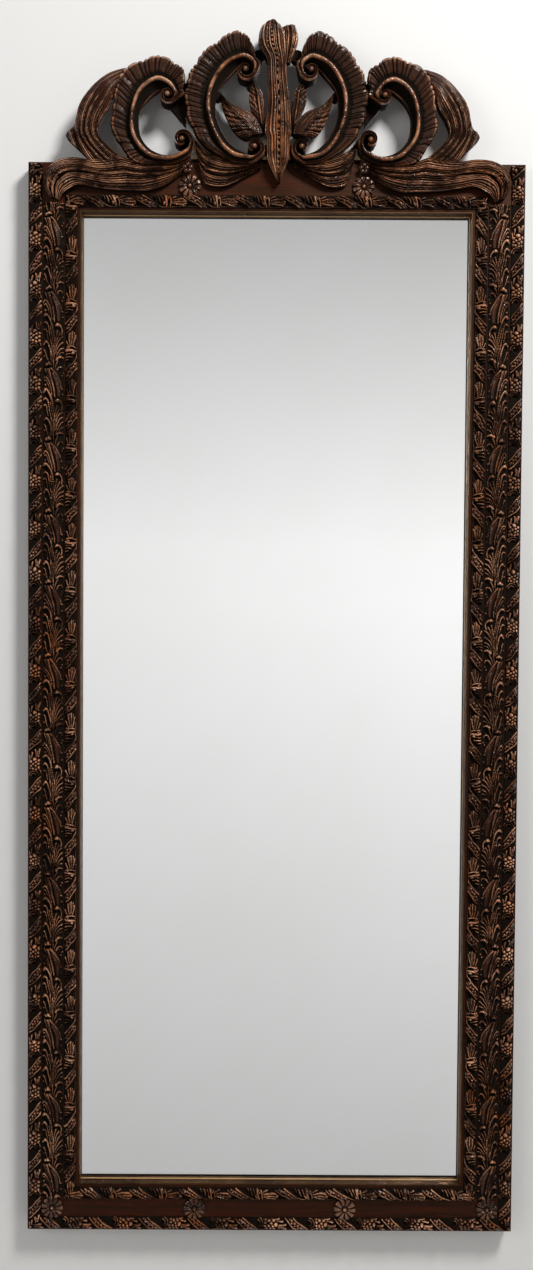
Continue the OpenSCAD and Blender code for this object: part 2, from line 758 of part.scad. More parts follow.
function strip_outline(edge_a, edge_b, stretch) =
    let (line = concat(
        [for (t = span(board_steps)) lerp(along(edge_a, t), along(edge_b, t), board_inset)],
        [for (t = span(board_steps)) lerp(along(edge_b, 1 - t), along(edge_a, 1 - t), board_inset)]))
    [for (p = line) [placed(p.x, stretch), p.y]];

// Outline of the board behind a volute, from the same rows as the volute itself
function volute_pad(eye, b0, a0, turn, stretch) =
    [for (i = [0 : volute_steps - 1])
        let (p = volute_row(eye, b0, a0, turn, i / volute_steps)[6])
        [placed(p.x, stretch), p.y]];

module board_shape(outline) {
    in_wall_plane(crest_t, timber_d - crest_t)
    translate([0, frame_h])
    polygon(outline);
}

module crest_half(stretch) {
    board_shape(strip_outline(inner_hole, inner_edge, stretch));
    board_shape(strip_outline(outer_hole, outer_edge, stretch));
    board_shape(strip_outline(wing_outer, wing_inner, stretch));
    board_shape(strip_outline(inner_leaf_lower, inner_leaf_upper, stretch));
    board_shape(strip_outline(plume_inner, plume_outer, stretch));
    board_shape(volute_pad(inner_eye_top, inner_bead[0], inner_hole[0], volute_turn, stretch));
    board_shape(volute_pad(inner_eye_low, inner_bead[7], inner_hole[7], -volute_turn, stretch));
    board_shape(volute_pad(outer_eye_top, outer_bead[0], outer_hole[0], volute_turn, stretch));
    board_shape(volute_pad(outer_eye_low, outer_bead[9], outer_hole[9], -volute_turn, stretch));
    for (t = board_ties)
        board_shape([for (a = [0 : 30 : 330]) [placed(t.x, stretch) + t.z * cos(a), t.y + t.z * sin(a)]]);
    board_shape([for (q = board_web) [placed(q.x, stretch), q.y]]);
}

module crest_board() {
    color(dark_wood)
    difference() {
        union() {
            crest_half(1);
            mirror([1, 0, 0]) crest_half(right_stretch);
            mirror([1, 0, 0]) board_shape(strip_outline(centre_edge_left, centre_edge_right, 1));
            board_shape(strip_outline(curl_inner, curl_outer, 1));
            board_shape([[-seat_x, 0], [seat_x, 0], [seat_x, seat_h], [-seat_x, seat_h]]);
        }
        translate([-half_w, -timber_d - past, frame_h - 2 * foot_drop])
        cube([frame_w, timber_d + 2 * past, 2 * foot_drop]);
        at_dowels() dowel(dowel_gap);
    }
}

// Dowels and glue blocks join the crest board to the top rail

dowel_gap = 0.05;

module at_dowels() {
    for (x = [-dowel_x, -dowel_inner_x, dowel_inner_x, dowel_x])
        translate([x, -timber_d + crest_t / 2, frame_h])
        children();
}

module dowel(gap) {
    translate([0, 0, -dowel_l / 2 - gap])
    cylinder(h = dowel_l + 2 * gap, d = dowel_d + 2 * gap);
}

module crest_dowels() { color("burlywood") at_dowels() dowel(0); }

block_spots = [for (i = [-2 : 2]) i / 2 * (seat_x - block_l / 2)];
block_bevel = 4;

module crest_glue_blocks() {
    deep = timber_d - crest_t;
    color("burlywood")
    for (x = block_spots)
        translate([x - block_l / 2, 0, frame_h])
        rotate([90, 0, 90])
        linear_extrude(block_l)
        polygon([[-deep, 0], [0, 0], [0, block_h - block_bevel], [-deep + block_bevel, block_h],
            [-deep, block_h]]);
}

// Strap hangers let into the backs of the stiles, each with a swinging ring

eye_r = ring_wire / 2 + eye_gap + strap_t;
pocket_spare = 0.4;
pocket_d = 2 * eye_r + pocket_spare;
hinge_y = -pocket_d + eye_r;
hanger_x = half_w - (stile_w - rebate_w) / 2;
pocket_side = 3;
ring_tip = ring_arm + ring_w / 2 + ring_wire / 2;
screw_gap = 0.05;
screw_head_d = 6.6;
screw_spots = [-9.5, -35];

module at_hanger() {
    translate([-hanger_x, hinge_y, hanger_z])
    children();
}

module screw(gap) {
    head_h = (screw_head_d - screw_d) / 2;
    rotate([90, 0, 0]) {
        cylinder(h = screw_l + gap, d = screw_d + 2 * gap);
        cylinder(h = head_h, d1 = screw_head_d + 2 * gap, d2 = screw_d + 2 * gap);
    }
}

module at_screws() {
    at_hanger()
    for (z = screw_spots)
        translate([0, strap_t - eye_r, z])
        children();
}

module hanger_cuts() {
    at_hanger()
    translate([-ring_w / 2 - ring_wire / 2 - pocket_side, -eye_r, -strap_l - pocket_side])
    cube([ring_w + ring_wire + 2 * pocket_side, pocket_d + past, strap_l + ring_tip + 2 * pocket_side]);
    at_screws() screw(screw_gap);
}

module hanger_strap() {
    plate_top = -0.4 * eye_r;
    color(steel)
    difference() {
        at_hanger() {
            translate([-strap_w / 2, 0, 0])
            rotate([0, 90, 0])
            cylinder(h = strap_w, r = eye_r);
            translate([-strap_w / 2, -eye_r, -strap_l])
            cube([strap_w, strap_t, strap_l + plate_top]);
        }
        at_hanger()
        translate([-strap_w, 0, 0])
        rotate([0, 90, 0])
        cylinder(h = 2 * strap_w, r = ring_wire / 2 + eye_gap);
        at_screws() screw(screw_gap);
    }
}

module hanger_ring() {
    wire_r = ring_wire / 2;
    color(steel)
    at_hanger() {
        translate([-ring_w / 2, 0, 0])
        rotate([0, 90, 0])
        cylinder(h = ring_w, r = wire_r);
        for (s = [-1, 1]) {
            translate([s * ring_w / 2, 0, 0]) sphere(wire_r);
            translate([s * ring_w / 2, 0, -ring_arm]) cylinder(h = ring_arm, r = wire_r);
        }
        translate([0, 0, -ring_arm])
        rotate([90, 0, 0])
        rotate_extrude(angle = 180, start = 180)
        translate([ring_w / 2, 0])
        circle(wire_r);
    }
}

module strap_screws() {
    color(steel)
    for (s = [0, 1])
        mirror([s, 0, 0])
        at_screws() screw(0);
}

module hanger_strap_left() { hanger_strap(); }
module hanger_strap_right() { mirror([1, 0, 0]) hanger_strap(); }
module hanger_ring_left() { hanger_ring(); }
module hanger_ring_right() { mirror([1, 0, 0]) hanger_ring(); }

stile_left();
stile_right();
rail_top();
rail_bottom();
outer_ribbon_left();
outer_ribbon_right();
outer_ribbon_bottom();
outer_ribbon_top_left();
outer_ribbon_top_right();
inner_ribbon_left();
inner_ribbon_right();
inner_ribbon_top();
inner_ribbon_bottom();
leaf_band_left();
leaf_band_right();
slip_left();
slip_right();
slip_top();
slip_bottom();
rosette_top_left();
rosette_top_right();
rosette_bottom_left();
rosette_bottom_right();
rosette_corner_left();
rosette_corner_right();
mirror_glass();
backing_board();
glazing_points();
corner_biscuits();
crest_board();
crest_dowels();
crest_glue_blocks();
centre_leaf();
centre_curl();
inner_scroll_left();
inner_scroll_right();
outer_scroll_left();
outer_scroll_right();
inner_leaf_left();
inner_leaf_right();
plume_leaf_left();
plume_leaf_right();
wing_left();
wing_right();
foot_leaf_left();
foot_leaf_right();
inner_base_leaf_left();
inner_base_leaf_right();
outer_base_leaf_left();
outer_base_leaf_right();
hanger_strap_left();
hanger_strap_right();
hanger_ring_left();
hanger_ring_right();
strap_screws();
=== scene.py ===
"""The looks of a carved wood wall mirror: dense carved relief, wood, gilt, glass, soft light and camera."""

import math

import bpy
import numpy as np
from mathutils import Matrix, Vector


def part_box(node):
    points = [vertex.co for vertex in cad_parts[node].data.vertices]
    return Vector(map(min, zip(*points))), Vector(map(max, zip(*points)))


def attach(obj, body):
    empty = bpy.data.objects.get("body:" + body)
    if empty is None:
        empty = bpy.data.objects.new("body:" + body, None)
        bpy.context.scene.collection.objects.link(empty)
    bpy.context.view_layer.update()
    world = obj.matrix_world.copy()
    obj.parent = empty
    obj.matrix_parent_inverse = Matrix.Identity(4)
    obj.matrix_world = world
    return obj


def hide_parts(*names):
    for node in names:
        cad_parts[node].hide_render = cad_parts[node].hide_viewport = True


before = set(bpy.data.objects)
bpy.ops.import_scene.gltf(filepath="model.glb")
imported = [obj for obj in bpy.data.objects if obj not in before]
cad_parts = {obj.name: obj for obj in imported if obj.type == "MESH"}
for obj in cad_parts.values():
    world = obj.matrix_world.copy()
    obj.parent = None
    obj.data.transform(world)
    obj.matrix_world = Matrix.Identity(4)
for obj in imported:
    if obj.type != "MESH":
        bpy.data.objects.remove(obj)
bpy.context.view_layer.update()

MM = 0.001  # metres in a millimetre
FRONT = 29  # millimetres from the wall to the front of the timbers and of the crest board
TOP = 1560  # upper edge of the top rail, in millimetres
# Both lines along the gilt slip are painted: the dark one a painted shadow, the bright one a painted
# highlight.
PAINTED_SHADOW_LINE, PAINTED_HIGHLIGHT_LINE = -0.0214, -0.0187  # depths in metres of the dark and the bright line along the gilt slip
GLASS_GAP, GLASS_BEVEL = 0.0003, 0.001  # metres left clear behind the silvering, and of the polished edge
SHARP = math.radians(50)  # a carving's edge that bends more than this looks sharp


# Materials

def tint(code):
    """Linear colour from a hex code."""
    parts = [int(code[i:i + 2], 16) / 255 for i in (0, 2, 4)]
    return [p / 12.92 if p <= 0.04045 else ((p + 0.055) / 1.055) ** 2.4 for p in parts] + [1]


class Net:
    """A node tree with short ways to add and link nodes."""

    def __init__(self, tree):
        self.tree = tree

    def add(self, kind, inputs=(), **settings):
        made = self.tree.nodes.new(kind)
        for key, value in settings.items():
            setattr(made, key, value)
        self.feed(made.inputs, inputs)
        return made

    def feed(self, sockets, values):
        """Links or sets sockets, each by its name or number."""
        for key, value in dict(values).items():
            if isinstance(value, bpy.types.NodeSocket):
                self.tree.links.new(value, sockets[key])
            else:
                sockets[key].default_value = value

    def maths(self, operation, a, b=0, clamp=False):
        return self.add("ShaderNodeMath", {0: a, 1: b}, operation=operation, use_clamp=clamp).outputs[0]

    def times(self, a, b, clamp=False):
        return self.maths("MULTIPLY", a, b, clamp)

    def ramp(self, value, low, high, to_low=0, to_high=1):
        limits = {"Value": value, "From Min": low, "From Max": high, "To Min": to_low, "To Max": to_high}
        return self.add("ShaderNodeMapRange", limits).outputs[0]

    def blend(self, share, a, b):
        return self.add("ShaderNodeMix", {0: share, 6: a, 7: b}, data_type="RGBA").outputs[2]

    def noise(self, where, scale, detail=4, rough=0.55, stretch=None):
        if stretch is not None:
            where = self.add("ShaderNodeVectorMath", {0: where, 1: stretch}, operation="MULTIPLY").outputs[0]
        grain = {"Vector": where, "Scale": scale, "Detail": detail, "Roughness": rough}
        return self.add("ShaderNodeTexNoise", grain).outputs[0]


def new_group(name, inputs, outputs):
    """An empty node group: its tree, its net, what it is given and what it puts out."""
    tree = bpy.data.node_groups.new(name, "ShaderNodeTree")
    kinds = dict.fromkeys(("Colour", "Dark", "Light"), "NodeSocketColor")
    kinds["Position"] = "NodeSocketVector"
    for way, labels in (("INPUT", inputs), ("OUTPUT", outputs)):
        for label in labels.split():
            kind = kinds.get(label, "NodeSocketFloat")
            tree.interface.new_socket(name=label, in_out=way, socket_type=kind)
    net = Net(tree)
    return tree, net, net.add("NodeGroupInput").outputs, net.add("NodeGroupOutput").inputs


def carved_group():
    """Dark waxed carving: near black where painted shade fills the hollows, and copper brown where hands and
    dusters have rubbed it, which also stands in for painted highlights.
    """
    tree, net, given, out = new_group(
        "carved_wood_finish", "Position Hollow Rub", "Colour Roughness Wax Height")
    where = given["Position"]
    broad = net.noise(where, 7, 3)
    patch = net.noise(where, 38, 4, 0.6)
    fine = net.noise(where, 420, 5, 0.65)
    fibre = net.noise(where, 260, 4, 0.6, (1, 1, 0.14))
    ground = net.blend(net.ramp(broad, 0.35, 0.65), tint("24120a"), tint("3c1d11"))
    ground = net.blend(net.ramp(patch, 0.45, 0.75, 0, 0.6), ground, tint("5a2c17"))
    ground = net.blend(net.ramp(fibre, 0.5, 0.75, 0, 0.45), ground, tint("150b06"))
    # Painted shade: the hollows go towards near black, changed a little at random.
    depth = net.times(given["Hollow"], 1.3)
    depth = net.maths("ADD", depth, net.ramp(patch, 0.3, 0.7, -0.14, 0.12), True)
    dark = net.blend(depth, ground, tint("040201"))
    # Copper where the dark stain is rubbed through, made brighter as painted highlights on the rises, and
    # kept out of the painted shade.
    worn_and_highlit = net.times(given["Rub"], net.ramp(patch, 0.36, 0.62, 0.12, 1))
    worn_and_highlit = net.times(worn_and_highlit, net.ramp(fine, 0.3, 0.6, 0.55, 1.05), True)
    copper_and_highlight = net.blend(net.ramp(broad, 0.38, 0.62), tint("bd7346"), tint("fcbd93"))
    bare = net.times(worn_and_highlit, net.maths("SUBTRACT", 1, given["Hollow"], True), True)
    bare = net.ramp(bare, 0.06, 0.85)
    rough = net.ramp(depth, 0, 0.6, 0.26, 0.95)
    rough = net.maths("ADD", rough, net.ramp(patch, 0.3, 0.7, -0.07, 0.09))
    net.feed(out, {"Colour": net.blend(bare, dark, copper_and_highlight),
                   "Wax": net.ramp(depth, 0, 0.5, 0.5, 0),
                   "Roughness": net.maths("SUBTRACT", rough, net.times(bare, 0.1), True),
                   "Height": net.times(net.maths("ADD", fibre, fine), 0.5)})
    return tree


def plain_group():
    """Red-brown polished timber with its grain along the third axis of the position that it is given."""
    tree, net, given, out = new_group(
        "plain_wood_finish", "Position Dark Light", "Colour Roughness Height")
    where = given["Position"]
    sway = net.times(net.noise(where, 5, 2), 0.03)
    aside = net.add("ShaderNodeCombineXYZ", {"X": sway}).outputs[0]
    bent = net.add("ShaderNodeVectorMath", {0: where, 1: aside}, operation="ADD").outputs[0]
    grain = net.noise(bent, 150, 5, 0.65, (1, 1, 0.05))
    pores = net.noise(bent, 620, 3, 0.6, (1, 1, 0.06))
    cloud = net.noise(where, 11, 4)
    colour = net.blend(net.ramp(grain, 0.34, 0.66), given["Dark"], given["Light"])
    colour = net.blend(net.ramp(cloud, 0.4, 0.7, 0, 0.45), colour, given["Dark"])
    raised = net.times(grain, 0.4)
    net.feed(out, {"Colour": net.blend(net.ramp(pores, 0.55, 0.7, 0, 0.7), colour, tint("1c0e08")),
                   "Roughness": net.ramp(cloud, 0.3, 0.7, 0.34, 0.5),
                   "Height": net.maths("SUBTRACT", raised, net.ramp(pores, 0.5, 0.75, 0, 0.6))})
    return tree


def gilt_group():
    """Old gilding, thin and tarnished, with the red ground showing where it is worn, and two painted lines
    along it: a painted shadow and a painted highlight.
    """
    tree, net, given, out = new_group(
        "old_gilt_finish", "Position", "Colour Roughness Metal Height")
    where = given["Position"]
    cloud = net.noise(where, 16, 4)
    rubbed = net.noise(where, 90, 5, 0.65)
    specks = net.noise(where, 520, 3, 0.6)
    colour = net.blend(net.ramp(cloud, 0.35, 0.65), tint("402a18"), tint("634729"))
    bare = net.ramp(rubbed, 0.56, 0.66)
    colour = net.blend(net.times(bare, 0.7), colour, tint("4f3120"))
    colour = net.blend(net.ramp(specks, 0.6, 0.7, 0, 0.6), colour, tint("2e2216"))
    depth = net.add("ShaderNodeSeparateXYZ", {"Vector": where}).outputs["Y"]
    # A painted shadow line and a painted highlight line across the slip's depth.
    for level, wide, code in ((PAINTED_SHADOW_LINE, 0.0011, "120a06"), (PAINTED_HIGHLIGHT_LINE, 0.0015, "c39a68")):
        away = net.maths("ABSOLUTE", net.maths("SUBTRACT", depth, level))
        line = net.ramp(away, wide, 0.4 * wide, 0, 0.9)
        colour = net.blend(line, colour, tint(code))
    # The bright line, a painted highlight, comes last and is less of a metal than the rest.
    shine = net.maths("SUBTRACT", 0.75, net.times(bare, 0.6))
    dulled = net.maths("SUBTRACT", 1, net.times(line, 0.75))
    net.feed(out, {"Colour": colour,
                   "Roughness": net.ramp(rubbed, 0.3, 0.7, 0.36, 0.6),
                   "Metal": net.times(shine, dulled),
                   "Height": net.maths("SUBTRACT", specks, net.times(bare, 0.4))})
    return tree


def speckled_group():
    """Two tones in clouds and specks, for board, beech and steel."""
    tree, net, given, out = new_group(
        "speckled_finish", "Position Dark Light Size Rough", "Colour Roughness Height")
    where = given["Position"]
    cloud = net.noise(where, net.times(given["Size"], 0.1), 4)
    specks = net.noise(where, given["Size"], 5, 0.7)
    colour = net.blend(net.ramp(specks, 0.35, 0.65), given["Dark"], given["Light"])
    net.feed(out, {"Colour": net.blend(net.ramp(cloud, 0.4, 0.7, 0, 0.5), colour, given["Dark"]),
                   "Roughness": net.maths("ADD", given["Rough"], net.ramp(specks, 0.3, 0.7, -0.08, 0.08)),
                   "Height": specks})
    return tree


CARVED, PLAIN, GILT, SPECKLED = carved_group(), plain_group(), gilt_group(), speckled_group()


def empty_net(holder):
    """The cleared node tree of a material or of the world."""
    holder.use_nodes = True
    holder.node_tree.nodes.clear()
    return Net(holder.node_tree)


def start_material(name):
    material = bpy.data.materials.new(name)
    net = empty_net(material)
    shader = net.add("ShaderNodeBsdfPrincipled")
    net.add("ShaderNodeOutputMaterial", {"Surface": shader.outputs[0]})
    where = net.add("ShaderNodeTexCoord").outputs["Object"]
    return material, net, shader, where


def dress(net, shader, group, given, strength, distance):
    """Feeds a shader the colour, roughness and bump of a group, and returns all that the group puts out."""
    out = net.add("ShaderNodeGroup", given, node_tree=group).outputs
    bump = net.add("ShaderNodeBump", {"Strength": strength, "Distance": distance, "Height": out["Height"]})
    net.feed(shader.inputs, {"Base Color": out["Colour"], "Roughness": out["Roughness"],
                             "Normal": bump.outputs[0]})
    return out


def carved_material(name, hollow=None, rub=None):
    """Carved wood that reads the relief's own attributes, or plain values where the mesh has none."""
    material, net, shader, where = start_material(name)
    given = {"Position": where}
    for label, value in (("Hollow", hollow), ("Rub", rub)):
        if value is None:
            value = net.add("ShaderNodeAttribute", attribute_name=label.lower()).outputs["Fac"]
        given[label] = value
    out = dress(net, shader, CARVED, given, 0.7, 0.0008)
    net.feed(shader.inputs, {"Specular IOR Level": 0.3, "Specular Tint": (1, 0.74, 0.56, 1),
                             "Coat Weight": out["Wax"], "Coat Roughness": 0.16})
    return material


def timber_material(name, level):
    """Plain timber with its grain upwards, or along x where the piece lies level."""
    material, net, shader, where = start_material(name)
    if level:
        where = net.add("ShaderNodeMapping", {"Vector": where, "Rotation": (0, math.pi / 2, 0)}).outputs[0]
    given = {"Position": where, "Dark": tint("1a0a03"), "Light": tint("3e1606")}
    dress(net, shader, PLAIN, given, 0.3, 0.0004)
    net.feed(shader.inputs, {"Specular IOR Level": 0.32, "Specular Tint": (1, 0.6, 0.4, 1),
                             "Coat Weight": 0.05, "Coat Roughness": 0.3})
    return material


def gilt_material():
    """Gilding for the slip, a metal only where its group says so."""
    material, net, shader, where = start_material("old_gilt")
    out = dress(net, shader, GILT, {"Position": where}, 0.3, 0.0003)
    net.feed(shader.inputs, {"Metallic": out["Metal"]})
    return material


def speckled_material(name, dark, light, size, rough, metal=0, bump=0.3):
    """Board, beech or steel in two tones, with specks as fine as size says."""
    material, net, shader, where = start_material(name)
    given = {"Position": where, "Dark": tint(dark), "Light": tint(light), "Size": size, "Rough": rough}
    dress(net, shader, SPECKLED, given, bump, 0.0003)
    net.feed(shader.inputs, {"Metallic": metal})
    return material


def silver_material():
    """Silvering seen through the glass, a little grey, with a few dark specks where it has aged."""
    material, net, shader, where = start_material("silvering")
    haze = net.noise(where, 3, 3)
    specks = net.noise(where, 700, 2, 0.5)
    colour = net.blend(net.ramp(haze, 0.3, 0.7), tint("fbfbfa"), tint("ffffff"))
    colour = net.blend(net.ramp(specks, 0.8, 0.84), colour, tint("6d655a"))
    rough = net.ramp(haze, 0.3, 0.7, 0, 0.008)
    net.feed(shader.inputs, {"Base Color": colour, "Roughness": rough, "Metallic": 1})
    return material


def glass_material():
    """Clear glass with a tint too faint to see."""
    material, net, shader, where = start_material("clear_glass")
    colour = net.blend(net.noise(where, 4, 3), tint("fdfefd"), tint("ffffff"))
    net.feed(shader.inputs, {"Base Color": colour, "Roughness": 0, "Transmission Weight": 1, "IOR": 1.5})
    return material


carved = carved_material("carved_wood")

# Pieces that keep their CAD shape, by their material.
KEPT = {
    timber_material("upright_timber", False): ["stile_left", "stile_right"],
    timber_material("level_timber", True): ["rail_top", "rail_bottom"],
    gilt_material(): ["slip_left", "slip_right", "slip_top", "slip_bottom"],
    speckled_material("hardboard", "5c4028", "8a6744", 900, 0.8, bump=0.5): ["backing_board"],
    speckled_material("bare_beech", "a07c4e", "c9a673", 350, 0.65): [
        "corner_biscuits", "crest_dowels", "crest_glue_blocks"],
    speckled_material("point_steel", "77736c", "a8a49c", 700, 0.4, 1): ["glazing_points"],
    speckled_material("hanger_steel", "8c8a84", "bdb9b0", 500, 0.34, 1): [
        "hanger_strap_left", "hanger_strap_right", "hanger_ring_left", "hanger_ring_right", "strap_screws"],
    # The crest board is made dark with painted shade all over, and gets a little rub and painted highlight.
    carved_material("carved_board", 0.72, 0.1): ["crest_board"],
}
for material, names in KEPT.items():
    for name in names:
        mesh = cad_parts[name].data
        mesh.materials.clear()
        mesh.materials.append(material)


# Looking glass

def looking_glass():
    """The glass with its polished edges, silvered at the back."""
    low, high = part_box("mirror_glass")
    high.y -= GLASS_GAP
    bpy.ops.object.select_all(action="DESELECT")
    bpy.ops.mesh.primitive_cube_add(size=1, location=(low + high) / 2, scale=high - low)
    made = bpy.context.object
    made.name = made.data.name = "looking_glass"
    bpy.ops.object.transform_apply(location=True, rotation=True, scale=True)
    for material in (glass_material(), silver_material()):
        made.data.materials.append(material)
    bevel = made.modifiers.new("polished_edge", "BEVEL")
    bevel.width, bevel.segments, bevel.limit_method = GLASS_BEVEL, 2, "ANGLE"
    bpy.ops.object.modifier_apply(modifier=bevel.name)
    for face in made.data.polygons:
        face.material_index = 1 if face.normal.y > 0.5 else 0
    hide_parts("mirror_glass")
    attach(made, "mirror")


looking_glass()


# Numbers and shapes

def ease(low, high, x):
    """Smooth step from 0 at low to 1 at high, with low above or below high."""
    t = np.clip((x - low) / (high - low), 0, 1)
    return t * t * (3 - 2 * t)


def along(points, t):
    """Smooth curve through the points, with t from 0 to 1."""
    p = np.asarray(points, float)
    last = len(p) - 1
    s = np.minimum(np.asarray(t, float) * last, last - 1e-4)
    i = s.astype(int)
    f = (s - i)[..., None]
    a, b, c, d = p[np.maximum(i - 1, 0)], p[i], p[i + 1], p[np.minimum(i + 2, last)]
    return 0.5 * (2 * b + (c - a) * f + (2 * a - 5 * b + 4 * c - d) * f**2 + (3 * b - a - 3 * c + d) * f**3)


def soften(h, rows, columns):
    """Mean of h over a window that reaches so many rows and columns to each side."""
    for axis, reach in ((0, rows), (1, columns)):
        pad = [(0, 0), (0, 0)]
        pad[axis] = (reach + 1, reach)
        total = np.cumsum(np.pad(h, pad, mode="edge"), axis=axis)
        window = 2 * reach + 1
        places = np.arange(h.shape[axis])
        h = (np.take(total, places + window, axis=axis) - np.take(total, places, axis=axis)) / window
    return h


def ripple(x, y, seed):
    """A gentle unevenness, mostly between -1 and 1, with waves 2 to 4 units long."""
    return (np.sin(0.9 * x + 1.3 * y + seed) + np.sin(1.7 * x - 0.8 * y + 2.1 * seed + 1)
            + np.sin(2.3 * y - 0.6 * x + 3.7 * seed) + np.sin(2.1 * x + 1.6 * y + 5 * seed)) / 3


def shade_wear_and_highlight(h, rows, columns, wide):
    """How much painted shade each point gets in the hollows, and how much rub and painted highlight on the
    rises, from its height against the mean round it.
    """
    near = h - soften(soften(h, rows, columns), rows, columns)
    far = h - soften(h, wide * rows, wide * columns)
    hollow = np.clip(ease(-0.03, -0.45, near) * 0.8 + ease(-0.1, -1.7, far), 0, 1)
    rub = np.clip(ease(0.16, 0.75, near) + ease(1, 3.2, far) * 0.3, 0, 1)
    return hollow, rub


def box_mm(name):
    """Low and high corner of a CAD node's box, in millimetres."""
    return [np.array(corner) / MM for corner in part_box(name)]


def placed(name, data):
    """A new object in the scene."""
    made = bpy.data.objects.new(name, data)
    bpy.context.scene.collection.objects.link(made)
    return made


class Carving:
    """Gathers grids of points, with the painted shade and the rub and painted highlight of each, into a mesh
    of closed shells.
    """

    def __init__(self):
        self.points, self.faces, self.hollow, self.rub = [], [], [], []
        self.count = 0

    def add(self, points, hollow, rub):
        """Takes in a grid of points and gives back their numbers in the mesh."""
        shape = points.shape[:-1]
        self.points.append(points.reshape(-1, 3))
        self.hollow.append(np.broadcast_to(hollow, shape).ravel())
        self.rub.append(np.broadcast_to(rub, shape).ravel())
        index = self.count + np.arange(np.prod(shape)).reshape(shape)
        self.count += index.size
        return index

    def grid(self, index, flip):
        a, b, c, d = index[:-1, :-1], index[1:, :-1], index[1:, 1:], index[:-1, 1:]
        quads = np.stack([a, d, c, b] if flip else [a, b, c, d], -1).reshape(-1, 4)
        self.faces += quads.tolist()

    def slab(self, front, hollow, rub, flip):
        """A relief on the timber's front: front is rows x columns x 3 in the frame's axes."""
        back = front[:, [0, -1]].copy()
        back[..., 1] = -FRONT
        # The sides down to the wall get painted shade and no rub or highlight.
        index, low = self.add(front, hollow, rub), self.add(back, 0.8, 0)
        whole = np.concatenate([low[:, :1], index, low[:, 1:], low[:, :1]], axis=1)
        self.grid(whole, flip)
        for row, turn in ((whole[0, :-1], not flip), (whole[-1, :-1], flip)):
            self.faces.append(row.tolist() if turn else row[::-1].tolist())

    def disc(self, points, hollow, rub):
        """A round boss from rings of points, with the first ring round its middle."""
        index = self.add(points, hollow, rub)
        self.grid(np.concatenate([index, index[:, :1]], axis=1), False)
        self.faces += [index[0].tolist(), index[-1, ::-1].tolist()]

    def dome(self, centre, radius, height, base, shine=0.5):
        """A small knob that stands height over base, which is counted from the wall."""
        a = np.linspace(0, 2 * np.pi, 20, endpoint=False)
        r = np.linspace(0.06, 1, 7)[:, None]
        x = centre[0] + radius * r * np.cos(a)
        y = -(base + height * np.sqrt(np.maximum(0, 1 - 0.96 * r**2)) + 0 * a)
        z = centre[1] + radius * r * np.sin(a)
        # Painted shade round the knob's foot, and rub with painted highlight on its top, as strong as shine
        # says.
        self.disc(np.stack([x, y, z], -1), 0.5 * (r > 0.8), shine * (1 - 0.8 * r))

    def piece(self, name, node):
        """Makes the mesh and lets it stand for its CAD node."""
        mesh = bpy.data.meshes.new(name)
        mesh.from_pydata((np.concatenate(self.points) * MM).tolist(), [], self.faces)
        for key, values in (("hollow", self.hollow), ("rub", self.rub)):
            attribute = mesh.attributes.new(key, "FLOAT", "POINT")
            attribute.data.foreach_set("value", np.concatenate(values).astype(np.float32))
        mesh.polygons.foreach_set("use_smooth", np.ones(len(mesh.polygons), bool))
        mesh.set_sharp_from_angle(angle=SHARP)
        mesh.materials.append(carved)
        made = placed(name, mesh)
        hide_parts(node)
        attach(made, "mirror")


# Repeating carvings, in millimetres, with the ground as a share of a tile's full height

STEP, TILE_STEP, TILE_FULL, TILE_GROUND = 0.8, 0.5, 8, 0.26


def wrap(x, pitch):
    return (x + pitch / 2) % pitch - pitch / 2


def cushion(c, half, height):
    """Rise of a rounded moulding at c from its middle line."""
    arc = (half * half + height * height) / (2 * height)
    return height - arc + np.sqrt(np.maximum(0, arc * arc - np.minimum(np.abs(c), half) ** 2))


def carve_tile(pitch, half, strands, knobs, pits):
    """One turn of a repeating carving, as shares of the full height.

    A strand is its half width, its height and the curve that it tapers along. A knob is its place, radius
    and height, and a pit is its place and radius. Each place is across and along.
    """
    v = np.arange(0, pitch, TILE_STEP)[:, None]
    x = np.arange(-half, half + TILE_STEP / 2, TILE_STEP)[None, :]

    def away(px, pv, radius):
        return ((x - px) ** 2 + wrap(v - pv, pitch) ** 2) / radius**2

    h = TILE_GROUND * TILE_FULL + 0 * v + 0 * x
    steps = np.linspace(0, 1, 30)
    for wide, high, curve in strands:
        for t, (px, pv) in zip(steps, along(curve, steps)):
            h = np.maximum(h, high * (1 - 0.2 * t) - 2.6 * away(px, pv, wide * (1 - 0.3 * t)))
    for px, pv, radius, high in knobs:
        h = np.maximum(h, high - 3.4 * away(px, pv, radius))
    for px, pv, radius in pits:
        h = h * (1 - 0.8 * np.exp(-away(px, pv, radius) ** 2))
    return h / TILE_FULL, pitch, half


def on_tile(tile, s, x):
    """Share of the full height at s along and x across, read smoothly from a tile that repeats."""
    h, pitch, half = tile
    i = (s % pitch) / pitch * h.shape[0]
    j = np.clip((x + half) / TILE_STEP, 0, h.shape[1] - 1.001)
    i0, j0 = np.floor(i).astype(int), np.floor(j).astype(int)
    fi, fj = i - i0, j - j0
    i0 = i0 % h.shape[0]
    i1 = (i0 + 1) % h.shape[0]
    return ((h[i0, j0] * (1 - fj) + h[i0, j0 + 1] * fj) * (1 - fi)
            + (h[i1, j0] * (1 - fj) + h[i1, j0 + 1] * fj) * fi)


# Ribbon mouldings

RIBBON_HALF, RIBBON_HIGH = 9.25, 9
RIBBON_PITCH, LEVEL_PITCH = 69, 72  # length of one turn on upright and on level bars
SHELL_SLANT = 0.35  # how far the level inner bars' carving leans along the bar for each step across

